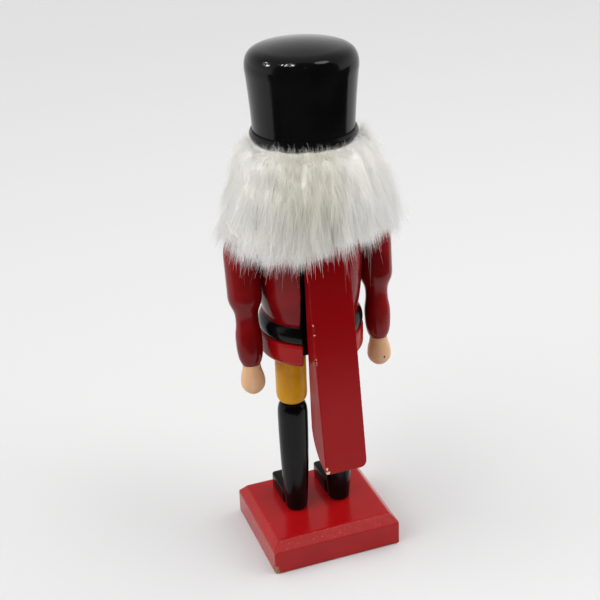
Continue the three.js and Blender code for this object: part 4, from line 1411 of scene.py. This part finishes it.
def makeBeard(tree, fur, roots):
    def outwardOf(places, normals):
        return smoothRamp(-normals[:, 1], -0.1, 0.3)

    pad, _ = furPad("beard", beardFur, outwardOf)
    places, normals = pointsOf(pad), pointsOf(pad, "normal")
    low, high = cornersOf("beard")
    grow = smoothRamp(-normals[:, 1], -0.04, 0.12)
    away = np.tile([0, -beardFur["forward"], -1.0], (len(places), 1))
    away[:, 0] = places[:, 0] * beardFur["spread"]
    drop = (high.z - places[:, 2] / mm) / (high.z - low.z)
    reach = beardFur["topReach"] + (1 - beardFur["topReach"]) * smoothRamp(drop, 0.05, 0.5)
    storeValues(pad, grow=grow, flow=spreadFlow(normals, away), reach=reach, rise=np.ones(len(places)))
    values = strandValues(beardFur, beardFur["seed"])
    mesh = growStrands("beard_strands", pad, tree, fur, values)
    addPiece("beard_strands", mesh, fur, bodyOf["beard"])
    addPiece("beard_pad", pad, roots, bodyOf["beard"], ["beard"])
    print(f"  beard_strands: {len(mesh.loop_triangles)} triangles")


def makeFur():
    tree, fur, roots = strandTree(), furFinish(), underfurFinish()
    makeHair(tree, fur, roots)
    makeBeard(tree, fur, roots)


# Dowels and the pin are kept as they are, in wood and steel

def finishHiddenPieces():
    wood, steel = bareWood(), pinSteel()
    for name, node in frame["nodes"].items():
        if name.endswith("_dowel") or name == "pivot_pin":
            node.data.materials.clear()
            node.data.materials.append(steel if name == "pivot_pin" else wood)


# Studio: pale table, soft light from the figure's left and above, darker room behind the camera

studio = {
    "floorRadius": 4.0, "floorColour": (0.645, 0.645, 0.645, 1), "farColour": (0.585, 0.585, 0.585, 1),
    "farEnd": -1.5, "nearEnd": 0.1,  # the table turns to its far colour between these
    "roomDark": 0.02,
    "darkFrom": 6, "darkTo": 154,  # the dark side of the room, in degrees from the figure's left
    # where the bright part of the table ends in reflections, how square and how soft its edge is
    "tableHalf": 0.44, "tableBack": 0.31, "tableCurve": 3.0, "tableBlur": (0.8, 1.15), "tableStart": 0.05,
    "roomLow": 0.9, "roomHigh": 0.4, "roomRise": 0.8,  # the room's own brightness in reflections
    "sideLight": 0.75,  # how much brighter the room is on either side
    "world": 0.74, "behind": 0.45, "sky": (0.80, 0.80, 0.80, 1),
    "keyAim": (0.6, 0.1, 0.8), "keyStrength": 1.30, "keyAngle": 55,
    "fillAim": (-0.85, 0.2, 0.5), "fillStrength": 0.95, "fillAngle": 70,
    "topPlace": (-0.42, 0.35, 1.25), "topSize": 0.42, "topPower": 2.0,
    "glintPlace": (0.37, 0.20, 1.35), "glintSize": 0.16, "glintPower": 0.6,
}
camera = {
    "place": (0.2061, 0.5795, 0.4573), "target": (0.00518, -0.00179, 0.15533), "roll": -2.263,
    "lens": 73.39, "sensor": 36.0,
}


def darkSide(tree, place):
    # how far a place or a direction lies inside the dark side of the room
    start, end = math.radians(studio["darkFrom"]), math.radians(studio["darkTo"])
    first = vectors(tree, "DOT_PRODUCT", place, (-math.sin(start), math.cos(start), 0))
    second = vectors(tree, "DOT_PRODUCT", place, (math.sin(end), -math.cos(end), 0))
    return maths(tree, "MINIMUM", first, second)


def makeFloor():
    bm = bmesh.new()
    bmesh.ops.create_circle(bm, cap_ends=True, segments=96, radius=studio["floorRadius"])
    mesh = bpy.data.meshes.new("table_top")
    bm.to_mesh(mesh)
    bm.free()
    floor = newObject("table_top", mesh)
    material, tree, shader, place = startFinish("table", Roughness=0.9, Specular_IOR_Level=0.1)
    axes, curve = axesOf(tree, place), studio["tableCurve"]
    across = maths(tree, "ABSOLUTE", maths(tree, "DIVIDE", axes["X"], studio["tableHalf"]))
    back = largest(tree, maths(tree, "DIVIDE", axes["Y"], studio["tableBack"]), 0.0)
    reach = maths(tree, "ADD", maths(tree, "POWER", across, curve), maths(tree, "POWER", back, curve))
    beyond = ramp(tree, reach, *studio["tableBlur"])
    beyond = product(tree, beyond, ramp(tree, axes["Y"], 0.0, studio["tableStart"]))
    mirrored = addNode(tree, "ShaderNodeLightPath").outputs["Is Glossy Ray"]
    dark = [studio["roomDark"]] * 3 + [1]
    # painted shade: the table darkens towards its far side, and seen in reflections it is dark beyond its bright
    # part
    near = ramp(tree, axes["Y"], studio["farEnd"], studio["nearEnd"])
    base = mixed(tree, near, studio["farColour"], studio["floorColour"])
    base = mixed(tree, product(tree, beyond, mirrored), base, dark)
    dress(tree, shader, base)
    mesh.materials.append(material)


def makeWorld():
    world = bpy.data.worlds.new("studio")
    bpy.context.scene.world = world
    world.use_nodes = True
    tree = world.node_tree
    tree.nodes.clear()
    path = addNode(tree, "ShaderNodeLightPath")
    aim = addNode(tree, "ShaderNodeTexCoord").outputs["Generated"]
    axes = axesOf(tree, aim)
    inDark = darkSide(tree, aim)
    room = ramp(tree, axes["Z"], 0.0, studio["roomRise"], studio["roomLow"], studio["roomHigh"])
    room = product(tree, room, ramp(tree, inDark, 0.0, 0.15, 1.0, studio["roomDark"]))
    soft = ramp(tree, inDark, 0.0, 0.8, studio["world"], studio["behind"] * studio["world"])
    side = maths(tree, "POWER", maths(tree, "ABSOLUTE", axes["X"]), 2.0)
    soft = product(tree, soft, maths(tree, "MULTIPLY_ADD", side, studio["sideLight"], 1.0))
    mirrored = largest(tree, path.outputs["Is Glossy Ray"], path.outputs["Is Transmission Ray"])
    shade = mixed(tree, mirrored, soft, room)
    shade = mixed(tree, path.outputs["Is Camera Ray"], shade, studio["sky"])
    background = addNode(tree, "ShaderNodeBackground", {"Color": shade, "Strength": 1.0})
    output = addNode(tree, "ShaderNodeOutputWorld")
    tree.links.new(background.outputs["Background"], output.inputs["Surface"])


def makeLights():
    for name in ("key", "fill"):  # wide soft lights that leave no mark in the gloss
        light = bpy.data.lights.new(name, "SUN")
        light.energy = studio[name + "Strength"]
        light.angle = math.radians(studio[name + "Angle"])
        lamp = newObject(name, light)
        lamp.rotation_euler = Vector(studio[name + "Aim"]).to_track_quat("Z", "Y").to_euler()
        lamp.visible_glossy = False
    for name in ("top", "glint"):  # small ones that show in the gloss
        light = bpy.data.lights.new(name, "AREA")
        light.energy = studio[name + "Power"]
        light.shape = "DISK"
        light.size = studio[name + "Size"]
        lamp = newObject(name, light)
        lamp.location = studio[name + "Place"]
        lamp.rotation_euler = Vector(studio[name + "Place"]).to_track_quat("Z", "Y").to_euler()


def makeCamera():
    scene = bpy.context.scene
    lens = bpy.data.cameras.new("photo view")
    lens.lens = camera["lens"]
    lens.sensor_width = camera["sensor"]
    lens.clip_start = 0.01
    view = newObject("photo view", lens)
    place, target = Vector(camera["place"]), Vector(camera["target"])
    turn = (target - place).to_track_quat("-Z", "Y") @ Quaternion((0, 0, 1), math.radians(camera["roll"]))
    view.location = place
    view.rotation_mode = "QUATERNION"
    view.rotation_quaternion = turn
    scene.camera = view
    scene.view_settings.view_transform = "Standard"
    scene.cycles.diffuse_bounces = 12  # light goes on deep into white fur


makeCamera()
makeFloor()
makeWorld()
makeLights()
print("studio: camera, table and lights")
makePlinth()
makeLegs()
makeTorso()
print("base, legs and torso")
makeHead()
makeNose()
makeHat()
makeArms()
print("head, hat and arms")
makeLever()
makeJaw()
finishHiddenPieces()
print("lever, jaw and pins")
makeFur()
print("fur")
